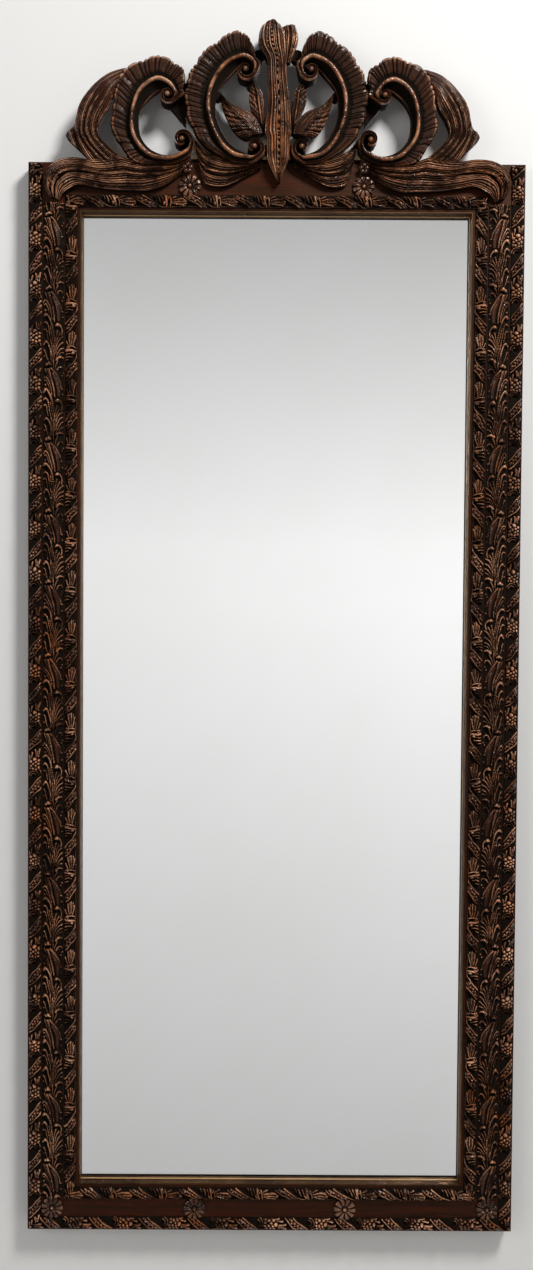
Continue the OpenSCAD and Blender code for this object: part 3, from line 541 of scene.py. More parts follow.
# A bunch of small petals, the ribbon's slanting turn, and a curl behind it.
FLOWERED = carve_tile(
    RIBBON_PITCH, RIBBON_HALF,
    strands=[(1.3, 7.6, [(7.2, 20), (6, 14), (5.2, 9)]), (1.2, 7.4, [(1, 19), (1.7, 14), (1.2, 10)]),
        (1.2, 7.2, [(-4, 15), (-4.8, 11), (-5.4, 7)]), (1.1, 7, [(4.4, 17), (3.4, 12), (3.2, 9)]),
        (1.1, 6.6, [(-8, 10), (-7.4, 6), (-7.6, 0)]),
        (1, 8.4, [(8.2, 49.5), (1.8, 42.3), (-4.7, 34.2), (-8.5, 29)]),
        (1, 8.4, [(9, 35), (6.8, 32), (1.8, 27), (-3.2, 22), (-8, 18.5)]),
        (3.4, 6.6, [(7, 42), (3, 37), (-2, 30), (-7, 24)]),
        (0.9, 6.2, [(-9, 51.5), (-7, 56), (-2, 58.2), (3, 56.5), (6.5, 51)]),
        (0.8, 5.8, [(-6.5, 50.5), (-4.5, 53.8), (-1.5, 54.8), (1.5, 53.5), (3, 50)]),
        (0.9, 6, [(8.6, 54), (6.8, 58.5), (3, 61)]), (0.8, 5.6, [(-8.8, 57), (-6, 60.5), (-3.2, 61.2)])],
    knobs=[(-0.2, 5.5, 2.7, 9.2), (-6, 2.2, 2.2, 8.2), (-5.6, -3.4, 2.1, 8), (-2.3, -0.8, 2, 8.5),
        (1.9, 1, 2.2, 8.7), (5.9, 2.8, 2.2, 8.1), (5.3, -2.3, 2.1, 8), (1.5, -4.2, 2.1, 8.2),
        (-3.3, -7.3, 2.1, 7.6), (1.2, -8.6, 2, 7.4), (5.4, -7.4, 2.1, 7.4), (-7, -7, 1.6, 7),
        (4, 40.5, 1.5, 8.5), (0.5, 36, 1.6, 8.5), (-2.6, 31.5, 1.5, 8.4), (1.6, 31.6, 1.2, 8),
        (5, 35.8, 1.3, 8.2), (-6, 26.5, 1.3, 8), (-2.6, 26.6, 1.2, 8)],
    pits=[(-1.5, 51, 1.9), (8, 12, 2.2), (-8.4, 14.5, 2.2), (-1.6, 11.5, 1.5), (8.4, 52, 1.6),
        (-8.6, -12, 1.6)])

# Small shells in the place of the petals.
SHELLED = carve_tile(
    RIBBON_PITCH, RIBBON_HALF,
    strands=[(2, 8.6, [(-6.4, 1.8), (0, 0.4), (6, 0.2)]), (1.3, 8, [(-5.5, 6), (1, 6.8), (6, 5)]),
        (1.1, 7.8, [(-2.6, 25), (-2, 17), (-0.6, 9)]), (1.1, 7.8, [(1.6, 28), (2, 18), (1.3, 9)]),
        (1.1, 7.8, [(6.4, 23), (5, 15), (3, 8)]), (1, 7.2, [(-6.6, 16), (-4.6, 11), (-2.6, 7)]),
        (0.9, 6.8, [(4.4, 27), (4, 18), (2.6, 9)]), (0.9, 6.6, [(-0.6, 27), (-0.2, 18), (0.4, 10)]),
        (1, 8.2, [(8.6, 46), (2, 37.5), (-2.2, 31.5), (-6.5, 27)]),
        (1, 8.2, [(-8, 41), (-2, 47.5), (3, 53.5), (7.4, 60)]),
        (3.6, 6.6, [(6, 51), (1.5, 45), (-3, 38), (-6.5, 33)]),
        (0.9, 6.8, [(-7, 65.4), (-2.6, 65.8), (3, 65)]),
        (0.9, 6.6, [(-7.4, 61), (-3.4, 61.8), (1, 61.2), (3.6, 62.6)]),
        (0.8, 6.2, [(-7.8, 56.4), (-5, 57.4), (-2, 57)]),
        (0.9, 6.6, [(7.8, -8), (7.9, 8), (7.8, 26), (7.9, 44), (7.8, 61)])],
    knobs=[(3.2, -2.4, 2.2, 8.8), (-3.4, 3.6, 1.8, 8.4), (4.5, 51.5, 1.5, 8.3), (3.4, 46.6, 1.5, 8.4),
        (-0.6, 43.4, 1.5, 8.4), (0.4, 39, 1.3, 8.2), (-4, 38.6, 1.4, 8.2), (-3.6, 34, 1.3, 8),
        (5.6, 46.2, 1, 8)],
    pits=[(-2.4, 53.6, 2.8), (4.4, 62.6, 1.8), (-6.8, 22, 2), (-7.6, 48, 1.8)])


def ribbon_height(s, c, pitch, inner):
    """Height of a ribbon twist at s along the bar and c across it, and the share of its tile there."""
    base = cushion(c, RIBBON_HALF, RIBBON_HIGH)
    mark = 0.25 * ripple(s / 0.9, c / 0.8, 2)
    s, c = s + 1.2 * ripple(s / 8, c / 7, 1) + 1.4 * np.sin(s / 41), c + 0.6 * ripple(s / 7, c / 8, 4)
    share = on_tile(SHELLED if inner else FLOWERED, s * RIBBON_PITCH / pitch, c)
    return np.maximum((0.5 + base) * share + mark, 0.3), share


def bar(name, inner, level, mirrored, square=0):
    """A ribbon bar in the box of its CAD node, mitred at both ends or with one square end.

    Across it, c grows to the right or upwards. The square end is at the far end, 1, or the near end, -1.
    """
    low, high = box_mm(name)
    axis, side = (0, 2) if level else (2, 0)
    middle = (low[side] + high[side]) / 2
    length = high[axis] - low[axis]
    outward = np.sign(middle - TOP / 2) if level else np.sign(middle)
    c = np.linspace(-RIBBON_HALF, RIBBON_HALF, 27)[None, :]
    t = np.linspace(0, 1, int(length / STEP))[:, None]
    inset = RIBBON_HALF - outward * c
    s = low[axis] + inset * (square >= 0) + t * (length - inset * (2 - abs(square)))
    across = -c if level != mirrored else c
    lean = SHELL_SLANT * across if inner and level else 0
    pitch = LEVEL_PITCH if level else RIBBON_PITCH
    h, share = ribbon_height(s - low[axis] - lean, across, pitch, inner)
    front = np.zeros((*h.shape, 3))
    front[..., axis] = s
    front[..., side] = middle + c
    front[..., 1] = -FRONT - h
    hollow, rub = shade_wear_and_highlight(h, 1, 1, 5)
    # Painted shade on the low ground between the twists, and rub with painted highlight on their tops.
    deep = ease(0.68, 0.36, share)
    rub = np.maximum(0.7 * rub, 0.95 * ease(0.97, 1.08, share))
    work = Carving()
    work.slab(front, np.maximum(hollow, deep), rub * (1 - 0.7 * deep), not level)
    work.piece(name.replace("ribbon", "ribbon_carving"), name)


for side in ("left", "right"):
    bar("outer_ribbon_" + side, False, False, False)
    bar("inner_ribbon_" + side, True, False, side == "right")
bar("outer_ribbon_bottom", False, True, False)
bar("outer_ribbon_top_left", False, True, False, square=1)
bar("outer_ribbon_top_right", False, True, True, square=-1)
bar("inner_ribbon_bottom", True, True, False)
bar("inner_ribbon_top", True, True, False)


# Leaf bands

LEAF_HALF, LEAF_HIGH, LEAF_PITCH = 15.5, 6.6, 106

# Crooks to the left and right in turn, a long blade, and feathered strands.
ACANTHUS = carve_tile(
    LEAF_PITCH, LEAF_HALF,
    strands=[(1.5, 7.6, [(-6.4, 99), (-4.4, 92), (-0.9, 79), (1.1, 69), (2.2, 59)]),
        (1.3, 7.4, [(-3.4, 100), (1.6, 95.3), (5.6, 89), (10.6, 79), (11.3, 72)]),
        (4.6, 6, [(1.5, 93), (5.5, 82), (7, 72), (7.6, 60)]),
        (1, 6.6, [(-8.4, 99), (-6, 90), (-3.5, 80), (-1.2, 70)]),
        (1, 6.2, [(-12, 100), (-9.6, 93), (-7.4, 86)]), (0.8, 6.8, [(4, 86), (7.4, 76), (8.6, 66)]),
        (1.3, 7.6, [(-14.6, 84.8), (-11.9, 87.4), (-8.4, 84.7), (-5.4, 79), (-2.9, 71), (-1.4, 63)]),
        (1, 6.4, [(-13, 81.6), (-10.8, 82.2), (-8.2, 78), (-6.2, 73.5), (-4.2, 66), (-2.6, 58)]),
        (1.6, 8.4, [(-14, 67.2), (-11.5, 70.3), (-7.9, 69),
            (-4.4, 64.1), (-2.4, 57), (-0.4, 44), (2.1, 33), (2.6, 27)]),
        (1.4, 7.2, [(-14.4, 56.3), (-11.4, 58.4), (-8.4, 56), (-6.9, 51), (-5.4, 42), (-3.4, 32)]),
        (1.2, 6.8, [(-14, 47.2), (-11.9, 48.6), (-9.8, 46.5), (-8.9, 42), (-7.3, 34)]),
        (1, 6.4, [(-4.4, 52), (-2.6, 42), (-0.4, 33), (1.4, 23)]),
        (1.3, 8, [(4.2, 52.6), (6.8, 54.6), (10.2, 52.9), (12.6, 48.5), (13, 43.5), (11.4, 40.3)]),
        (1, 6.8, [(5.6, 46), (4.1, 41), (3.1, 33), (2.9, 25)]),
        (1, 6.8, [(9.6, 43), (6.6, 38), (4.6, 31), (3.8, 23)]),
        (1.1, 7, [(13.8, 38.6), (9.1, 35), (5.1, 27), (4, 19)]),
        (1.1, 7, [(14.8, 31), (9.8, 28), (5.5, 21), (3.6, 13)]),
        (1, 6.8, [(14.8, 23.4), (10.5, 21.4), (6.5, 15.5), (4, 8)]),
        (0.9, 6.4, [(14.8, 16.6), (10.6, 16), (7, 11.5)]),
        (1.5, 8, [(-13.4, 28), (-10.4, 31.8), (-7.4, 28), (-4.6, 19.5), (-3, 11)]),
        (1.1, 6.4, [(-13, 20.6), (-11.2, 17.5), (-9.6, 10), (-7.6, 5)]),
        (1, 6.6, [(-3.4, 31), (-2.2, 22), (-3, 12), (-4.6, 5)]),
        (1, 6.8, [(-0.2, 28), (0.4, 20), (-1.2, 10), (-3.4, 3.5)]),
        (1, 6.6, [(2.1, 24), (2.2, 17), (0.6, 8), (-2, 2.5)]),
        (1.7, 8.2, [(5.6, 6.6), (8, 9.2), (11.5, 9.5), (14.6, 7.9)]),
        (1.1, 6.8, [(5.6, 97), (8.1, 101.4), (12, 101.6), (13.9, 98.4)]),
        (1, 6.4, [(6.8, 4.6), (4.1, -1.4), (2.4, -8)]), (0.9, 6.2, [(0.6, 6), (0.8, -2), (-0.6, -8)]),
        (1.9, 8.4, [(-9.8, -0.6), (-6, 1), (-3.4, -0.2)])],
    knobs=[(-11.9, 75.3, 1.5, 7.2), (-11.7, 69.4, 2.6, 8.8), (6.4, 53.8, 2.4, 8.8), (-10.4, 31, 2.1, 8.6),
        (-6.4, 0.8, 2.6, 8.8), (14, 92, 1.3, 7), (12.9, 72, 1.4, 7), (12.2, 88, 1.2, 6.8),
        (-11.4, 58.2, 1.8, 7.8), (13.2, 63.6, 1.2, 6.8), (-13, 11.5, 1.3, 6.6), (9.6, 9.6, 1.9, 8.6)],
    pits=[(-9.7, 64.6, 2.6), (-11.3, 53.6, 2.3), (-12, 44.4, 2), (9.6, 48.4, 2.6), (-10.2, 25.8, 2.8),
        (11.6, 3.4, 3.4), (-6.6, -4, 2.3), (-12.8, 92, 2.6), (-13.4, 38, 2.2), (14, 57.4, 2.6),
        (10.4, 95, 1.8)])


def leaf_band_height(s, x):
    """Height of the leaves up a stile, at s along and x across, and the share of their tile there."""
    base = cushion(x, LEAF_HALF, LEAF_HIGH)
    mark = 0.2 * ripple(s / 0.9, x / 0.8, 5)
    s, x = s + 1.6 * ripple(s / 10, x / 9, 2) + 2.5 * np.sin(s / 83), x + 0.6 * ripple(s / 9, x / 8, 6)
    share = on_tile(ACANTHUS, s, x) * (0.25 + 0.75 * ease(LEAF_HALF + 0.1, LEAF_HALF - 1.1, np.abs(x)))
    return np.maximum((1.6 + base) * share + mark, 0.3), share


def leaf_band(name, mirrored):
    """A leaf band in the box of its CAD node."""
    low, high = box_mm(name)
    z = np.linspace(low[2], high[2], int((high[2] - low[2]) / STEP))[:, None]
    x = np.linspace(-LEAF_HALF, LEAF_HALF, 39)[None, :]
    h, share = leaf_band_height(z, -x if mirrored else x)
    front = np.stack([(low[0] + high[0]) / 2 + x + 0 * z, -FRONT - h, z + 0 * x], -1)
    hollow, rub = shade_wear_and_highlight(h, 1, 1, 5)
    # Painted shade on the low ground between the leaves, and rub with painted highlight on their tops.
    deep = ease(0.68, 0.34, share)
    rub = np.maximum(0.6 * rub, ease(0.96, 1.07, share))
    work = Carving()
    work.slab(front, np.maximum(hollow, deep), rub * (1 - 0.7 * deep), True)
    work.piece(name.replace("band", "carving"), name)


leaf_band("leaf_band_left", False)
leaf_band("leaf_band_right", True)


# Rosettes

def rosette(name, turn, petals):
    """Petals round a button, each with a groove, in the box of a CAD node."""
    low, high = box_mm(name)
    middle, radius = (low + high) / 2, (high[0] - low[0]) / 2
    a = np.linspace(0, 2 * np.pi, 220, endpoint=False)[None, :]
    wave = np.abs(np.cos(petals * (a + turn) / 2 + 0.12 * np.sin(3 * a + turn)))
    reach = radius * (0.9 + 0.1 * wave**0.7)
    r = np.linspace(0.01, 1, 30)[:, None] * reach
    body = np.sin(np.pi * np.clip((r - 3.4) / (reach - 2.2), 0, 1)) ** 0.7
    h = 2.6 + 3.8 * body * wave**0.4 - 1.1 * np.exp(-(((1 - wave) * 5) ** 2)) * body
    h = np.maximum(h, 7.2 * (1 - (r / 5) ** 2))
    h += 0.5 * np.cos(a * 9) * ((r > 1.6) & (r < 4.2))
    front = np.stack([middle[0] + r * np.cos(a), -FRONT - h, middle[2] + r * np.sin(a)], -1)
    closed = np.pad(h, ((0, 0), (8, 8)), mode="wrap")
    hollow, rub = [mark[:, 8:-8] for mark in shade_wear_and_highlight(closed, 1, 2, 3)]
    outside = ease(4.5, 6.5, r)
    # Painted shade in the gaps between the petals, and rub with painted highlight on the petals and on the
    # button.
    hollow = np.maximum(hollow, 0.85 * ease(0.6, 0.2, wave) * outside)
    rub = np.maximum(0.8 * rub, 0.24 * ease(0.35, 0.8, wave) * outside)
    rub = np.maximum(rub, 0.9 * ease(3.4, 1, r))
    rim = front[-1:].copy()
    rim[..., 1] = -FRONT
    work = Carving()
    # The rim down to the wall gets painted shade.
    marks = [np.concatenate([mark, 0 * rim[..., 0] + edge]) for mark, edge in ((hollow, 0.8), (rub, 0))]
    work.disc(np.concatenate([front, rim]), *marks)
    work.piece(name + "_carving", name)


for i, place in enumerate(row + side for row in ("top", "bottom", "corner") for side in ("_left", "_right")):
    rosette("rosette_" + place, 0.2 + 0.37 * i, 11 if i % 3 else 10)


# Crest: its curves go outwards from the middle and upwards from the top rail's upper edge

INNER = dict(
    eye_top=(46.8, 127), eye_low=(33.5, 18.7), ribs=22,
    bead=[(35, 140), (51, 147), (78, 133), (97, 100), (98, 64), (84, 29), (65, 10), (45, 5)],
    hole=[(39, 136.5), (50, 138), (67, 121), (86, 97), (88.5, 66), (77, 37), (60, 19), (44, 11.5)],
    edge=[(27, 141), (53, 183), (103, 156), (130, 112), (131, 70), (110, 27), (69, 1), (43, -4)])
OUTER = dict(
    eye_top=(157.8, 91.4), eye_low=(137, 28.6), ribs=20,
    bead=[(146, 95), (157, 109), (175, 114), (197, 98), (208, 68), (206, 35), (187, 10), (164, 2), (146, 4),
          (130, 12)],
    hole=[(149.5, 94), (157, 103.5), (171, 98), (187, 84), (198, 64), (196, 36), (183, 18), (163, 9),
          (147.5, 10), (132.5, 16.5)],
    edge=[(134, 95), (137, 130), (174, 147), (221, 126), (234, 88), (236, 42), (205, -1), (165, -5),
          (144, -3), (126, 6)])

# Each leaf's two edges, its heights along the crown, and how it is cut.
LEAVES = {
    "wing": (
        [(226, 108), (235, 92), (240, 76), (250, 61), (256, 47), (254, 34), (241, 20), (221, 4), (205, -14)],
        [(220, 132), (244, 123), (268, 103), (284, 79), (291, 52), (303, 36), (284, 15), (262, -4),
         (236, -20)],
        (14, 20, 20, 19, 17, 13, 10), dict(rows=170, columns=60, depth=3.8, seed=4)),
    "foot_leaf": (
        [(209.5, -42), (235, -41), (262, -38), (285, -34), (299, -41), (307, -47), (313, -55)],
        [(226.5, 8), (262, 2), (290, 5), (313, 1), (330, -12), (335, -33), (327, -50)],
        (16, 16, 20, 22, 12), dict(rows=170, columns=72, seed=20)),
    "outer_base_leaf": (
        [(123, -3), (141, -20), (163, -35), (186, -42), (209.5, -42)],
        [(124, 8), (143, -1), (166, -3), (202, 0), (226.5, 8)],
        (8, 16, 16), dict(rows=130, columns=60, seed=15)),
    "inner_base_leaf": (
        [(121, 36), (104, 16), (73, 3), (44, -2), (24, -1)],
        [(109, -18), (100, -33), (74, -35), (44, -20), (23, -9)],
        (9.6, 16, 11.2), dict(rows=130, columns=56, seed=15)),
    "inner_leaf": (
        [(47, 34), (57, 38), (66, 48), (73, 62), (79, 78), (82, 95)],
        [(20.5, 41), (26, 56), (38, 69), (52, 76), (67, 83), (81, 97)],
        (12, 14.4, 8.4), dict(rows=150, columns=60, depth=1.6, seed=10)),
    "plume_leaf": (
        [(25.5, 58), (36, 71.5), (40.5, 84), (41, 97), (38, 108)],
        [(20.6, 47), (18.3, 62), (19, 80), (22, 98), (33, 111)],
        (10.8, 12, 9.6), dict(rows=120, columns=44, flutes=3, depth=1.4, seed=10)),
}
LOBES = {"inner_leaf": 4, "plume_leaf": 3}
WING_GUIDE = [(220, 132), (244, 123), (268, 103), (283, 79), (289, 54), (288, 33), (277, 12), (260, -6),
              (236, -20)]
CENTRE = ([(-10, 196), (-23, 190), (-28, 175), (-26, 160), (-16, 143), (-14.5, 120), (-14, 80), (-18.5, 44),
           (-15.4, 30), (-15, 5), (-7, -14), (1, -29)],
          [(-6, 197), (3, 191), (8, 177), (10, 160), (11.5, 143), (12, 120), (16.5, 82), (19.4, 44),
           (16.8, 30), (16.3, 5), (9, -14), (4, -29)], [21.6, 31.05, 27, 24.3, 27, 24.3, 13.5])
CURL = ([(-8, 138), (-7, 156), (-5.5, 174), (-5, 189)],
        [(-17, 138), (-24, 156), (-28.5, 173), (-24, 191)], [16.2, 22.95, 18.9])

# Lines across a scroll, as places from one edge to the other and shares of the bead's height.
COVE_LINE = ([0, 0.07, 0.2, 0.55, 0.85, 1], [0.3, 0.4, 0.33, 0.38, 0.6, 0.74])
RUFFLE_LINE = ([0, 0.05, 0.13, 0.4, 0.72, 0.9, 1], [0.7, 0.56, 0.56, 0.72, 0.8, 0.7, 0.46])
TAIL_LINE = ([0, 0.05, 0.15, 0.5, 0.85, 1], [0.72, 0.6, 0.56, 0.56, 0.5, 0.36])
VOLUTE_LINE = ([-1, -0.8, -0.5, 0, 0.4, 0.7, 0.9, 1], [0.45, 0.74, 0.95, 0.9, 0.9, 0.95, 0.74, 0.45])

BEAD_HIGH, BEAD_HALF = 21, 3.2
COVE, BEAD, RUFFLE = 13, 9, 26  # columns of points across the three parts of a scroll
RIBBED = 0.7  # share of the C, from its upper end, that the ruffle's ribs cover
SPIRAL_ROWS, SPIRAL_TURN = 84, math.radians(375)
SPIRAL_END, SPIRAL_HALF = 4.2, 3  # radius where a volute ends, and half its width there
EYE_RADIUS, EYE_HIGH, EYE_SUNK = 4.4, 5, 1.5  # the knob in a volute
PETAL_RADIUS, PETAL_HIGH, PETAL_BASE = 3.6, 3.2, 7.5  # the small flower on an inner base leaf
STRETCH, STRETCH_FROM = 0.95, 40  # share of its width that the right half keeps, from so far out
FOOT_ROOT, FOOT_BLEND, FOOT_EYE = 230, 75, (318, -30)  # root, length that gives way, and turned end


def outwards(u, right):
    """Distance from the middle, which is a little less on the right, as hand carving left it."""
    return STRETCH_FROM + (u - STRETCH_FROM) * (STRETCH if right else 1)


def drawn(edge, right, foot=False):
    """An edge on its side of the crest. A foot leaf's end keeps to the frame's corner."""
    made = []
    for u, w in edge:
        free = min(1, max(0, (u - FOOT_ROOT) / FOOT_BLEND)) if foot else 0
        made.append((outwards(u, right) * (1 - free) + u * free, w))
    return made


def set_on_crest(points, heights, way):
    """Points of a carving in the frame's axes: way is -1 for the left, 1 for the right."""
    return np.stack([way * points[..., 0], -FRONT - heights, TOP + points[..., 1]], -1)


def arc_grid(shape, t):
    """Positions and heights of the C of a scroll: cove, bead and gadrooned ruffle."""
    bead, hole, edge = [along(shape[key], t) for key in ("bead", "hole", "edge")]
    t = t[:, None]
    cove_wide = np.linalg.norm(hole - bead, axis=1)[:, None]
    ruffle_wide = np.linalg.norm(edge - bead, axis=1)[:, None]
    live = ease(0.72, 0.66, t)
    step = shape["ribs"] * t / RIBBED
    sway = step + 0.2 * np.sin(step * 1.7) + 0.12 * np.sin(step * 4.1)
    ribs = np.abs(np.cos(math.pi * 1.5 * sway)) ** 0.6
    lobes = np.abs(np.cos(math.pi * sway / 3.2 + 0.4)) ** 0.7
    reach = 1 + live * (1.5 * (ribs - 0.6) + 3.4 * (lobes - 0.72)) / np.maximum(ruffle_wide, 12)
    bead_in = bead + (hole - bead) * np.minimum(0.8, BEAD_HALF / cove_wide)
    bead_out = bead + (edge - bead) * np.minimum(0.35, BEAD_HALF / ruffle_wide)
    edge = bead + (edge - bead) * reach
    g1, g2, g3 = np.linspace(0, 1, COVE)[:-1], np.linspace(-1, 1, BEAD), np.linspace(0, 1, RUFFLE)[1:]
    sections = ((hole, bead_in, g1), (bead_in, bead_out, (g2 + 1) / 2), (bead_out, edge, g3))
    points = np.concatenate([p[:, None] + (q - p)[:, None] * g[None, :, None] for p, q, g in sections], 1)
    wide = np.minimum(1, ruffle_wide / 20)
    cut = 2.6 * wide * live
    slim = np.interp(g3, *TAIL_LINE)
    fine = np.abs(np.cos(math.pi * 3 * sway + 1.5 * g3))
    ruffle = BEAD_HIGH * (slim + (np.interp(g3, *RUFFLE_LINE) - slim) * wide)
    ruffle = ruffle + cut * ease(0, 0.25, g3) * (ribs - 0.7 + 0.25 * (fine - 0.6))
    ruffle = ruffle + cut * ease(0.35, 1, g3) * (lobes - 0.75)
    ruffle = ruffle + 1.1 * wide * live * np.exp(-((g3 - 0.9) / 0.09) ** 2) * lobes
    ruffle = ruffle + (1 - live) * (0.9 * np.cos(g3 * 15) + 0.5 * np.cos(g3 * 31 + 2 * t))
    crown = BEAD_HIGH * (0.76 + 0.26 * np.sqrt(np.maximum(0, 1 - g2 * g2))) + 0.25 * np.sin(t * 150)
    cove = BEAD_HIGH * np.interp(g1, *COVE_LINE) + 0 * t
    return points, np.concatenate([cove, crown, ruffle], 1)


def volute_grid(shape, top, t):
    """The closing spiral at one end, which grows out of the end of the C."""
    eye = np.array(shape["eye_top" if top else "eye_low"], float)
    bead, hole = [np.array(shape[key][0 if top else -1], float) for key in ("bead", "hole")]
    start_r, start_half = np.linalg.norm(bead - eye), np.linalg.norm(bead - hole)
    t = t[:, None]
    direction = math.atan2(*(bead - eye)[::-1]) + (SPIRAL_TURN if top else -SPIRAL_TURN) * t
    aim = np.stack([np.cos(direction), np.sin(direction)], -1)
    r = start_r + (SPIRAL_END - start_r) * t**0.7
    half = start_half + (SPIRAL_HALF - start_half) * np.minimum(1, 2 * t)
    across = np.linspace(-1, 1, COVE + BEAD + RUFFLE - 2)[None, :]
    points = eye + (r + across * half)[..., None] * aim
    high = np.interp(across, *VOLUTE_LINE) - 0.1 * np.exp(-((across - 0.05) / 0.3) ** 2)
    heights = high * (BEAD_HIGH + 2 * t)
    end_points, end_heights = arc_grid(shape, np.array([0.0 if top else 1.0]))
    moved = end_points + eye + r[..., None] * aim - bead
    share = ease(0, 0.16, t)
    return moved + (points - moved) * share[..., None], end_heights + (heights - end_heights) * share


def scroll(name, shape, right):
    """A C-scroll with a volute at each end."""
    way = 1 if right else -1
    spiral = np.linspace(0.012, 1, SPIRAL_ROWS)
    arc = np.concatenate([np.linspace(0, RIBBED, shape["ribs"] * 14), np.linspace(RIBBED + 0.005, 1, 60)])
    parts = [volute_grid(shape, True, spiral[::-1]), arc_grid(shape, arc), volute_grid(shape, False, spiral)]
    points, heights = [np.concatenate(grids) for grids in zip(*parts)]
    points[..., 0] = outwards(points[..., 0], right)
    heights = heights + 0.15 * ripple(points[..., 0] / 1.1, points[..., 1] / 1.1, len(name))
    hollow, rub = shade_wear_and_highlight(heights, 2, 2, 4)
    rows, columns = np.arange(len(points))[:, None], np.arange(points.shape[1])[None, :]
    ruffle, last = COVE + BEAD, COVE + BEAD + RUFFLE
    pleats = ease(ruffle, ruffle + 2, columns) * ease(last - 4, last - 8, columns)
    for row in (rows, len(points) - rows):
        pleats = pleats * ease(SPIRAL_ROWS, SPIRAL_ROWS + 6, row)
    # Painted shade along the cove and, lighter, on the ruffle's pleats; rub and painted highlight are scaled
    # for each part.
    hollow = np.maximum(hollow, 0.45 * ((columns > 2) & (columns < COVE - 2)))
    hollow = np.maximum(hollow, 0.3 * pleats)
    polish_and_highlight = np.where(columns < COVE - 2, 0.3, np.where(columns < ruffle, 0.5, 0.74))
    work = Carving()
    work.slab(set_on_crest(points, heights, way), hollow, rub * polish_and_highlight * (1 - 0.8 * pleats), not right)
    for u, w in (shape["eye_top"], shape["eye_low"]):
        work.dome((way * outwards(u, right), TOP + w), EYE_RADIUS, EYE_HIGH, FRONT + BEAD_HIGH - EYE_SUNK)
    work.piece(name + "_carving", name)


def leaf_grid(edge_a, edge_b, crowns, rows, columns, flutes=4, depth=4.3, seed=0, strands=4, wander=0.03,
              guide=None):
    """Positions and heights of a fluted leaf, with t along it and f across it from one edge to the other."""
    t = np.linspace(0, 1, rows)
    a, b, crown = along(edge_a, t), along(edge_b, t), along([[height] for height in crowns], t)
    f = np.linspace(0, 1, columns)[None, :]
    share = f
    if guide is not None:
        share = f * (np.linalg.norm(b - a, axis=1) / np.linalg.norm(along(guide, t) - a, axis=1))[:, None]
    t = t[:, None]
    swell = np.sqrt(np.maximum(0, 1 - (2 * f - 1) ** 2))
    bent = share + 4 * f * (1 - f) * (wander * np.sin(5 * t + seed) + 0.035 * np.sin(9.4 * f + 1))
    ridge = 1 - np.abs(np.sin(math.pi * flutes * bent)) ** 0.9
    fine = np.abs(np.cos(math.pi * flutes * strands * (bent + 0.012 * np.sin(5 * t + seed))))
    h = crown * (0.45 + 0.55 * swell) + depth * (ridge - 1 + 0.55 * (fine - 0.6) * ease(0, 0.4, swell))
    points = a[:, None, :] + (b - a)[:, None, :] * f[..., None]
    return points, h + 0.22 * ripple(points[..., 0] / 1.2, points[..., 1] / 1.2, seed), t, f


def set_leaf(name, points, h, way, domes=(), polish_and_highlight=0):
    """A leaf's carving on its side of the crest, with knobs on it and more rub and painted highlight where
    its last argument says so.
    """
    hollow, rub = shade_wear_and_highlight(h, 2, 2, 4)
    work = Carving()
    work.slab(set_on_crest(points, h, way), hollow, np.clip(0.68 * rub + polish_and_highlight, 0, 1), way < 0)
    for u, w in domes:
        work.dome((way * u, TOP + w), PETAL_RADIUS, PETAL_HIGH, FRONT + PETAL_BASE, 0.12)
    work.piece(name + "_carving", name)


def lobed(h, t, f, lobes):
    """Cuts the outer half of a leaf into lobes that lean towards its tip, each with a few curved veins."""
    side = np.clip((0.58 - f) / 0.58, 0, 1)
    sweep = lobes * (t - 0.2 * side + 0.06 * np.sin(6 * t)) + 0.3
    lobe = np.abs(np.sin(math.pi * sweep))
    veins = np.abs(np.sin(math.pi * 3 * sweep))
    h = h - side**0.5 * (5.2 * (1 - lobe**0.5) + 2.2 * (1 - veins))
    return np.maximum(h + 2.2 * np.exp(-((f - 0.62) / 0.06) ** 2), 1.2)


def turned_foot(points, h, t, f):
    """Gives a foot leaf its long cleft, the roll beside that, and the rings round its turned end."""
    cleft = 0.44 + 0.06 * np.sin(4 * t)
    parted = ease(0.05, 0.35, t) * ease(1, 0.9, t)
    h = h - 8 * np.exp(-((f - cleft) / 0.045) ** 2) * parted
    h = h + 2.6 * np.sin(math.pi * np.clip((f - cleft) / (1 - cleft), 0, 1)) * parted
    r = np.hypot(points[..., 0] - FOOT_EYE[0], points[..., 1] - FOOT_EYE[1])
    return h + 1.5 * (np.abs(np.cos(r * math.pi / 5.5)) - 0.5) * np.exp(-(r / 17) ** 4)


def crest_leaf(kind, side):
    """A fluted leaf, finished in the way of its kind."""
    right = side == "right"
    edge_a, edge_b, crowns, cut = LEAVES[kind]
    edges = [drawn(edge, right, kind == "foot_leaf") for edge in (edge_a, edge_b)]
    if kind == "wing":
        rise = 0.3 + 0.7 * ease(0.12, 0.42, np.linspace(0, 1, cut["rows"])[:, None])
        cut = dict(cut, depth=cut["depth"] * rise, guide=drawn(WING_GUIDE, right))
    points, h, t, f = leaf_grid(*edges, crowns, **cut)
    domes = []
    if kind == "foot_leaf":
        h = turned_foot(points, h, t, f)
    if kind in LOBES:
        h = lobed(h, t, f, LOBES[kind])
    if kind == "inner_base_leaf":
        petals = ((0, 4), (-4.5, 0), (4.5, 0), (-2.5, -5), (2.5, -5))
        domes = [(outwards(128.5 + du, right), -8 + dw) for du, dw in petals]
    set_leaf(kind + "_" + side, points, h, 1 if right else -1, domes)


for side in ("left", "right"):
    scroll("inner_scroll_" + side, INNER, side == "right")
    scroll("outer_scroll_" + side, OUTER, side == "right")
    for kind in LEAVES:
        crest_leaf(kind, side)


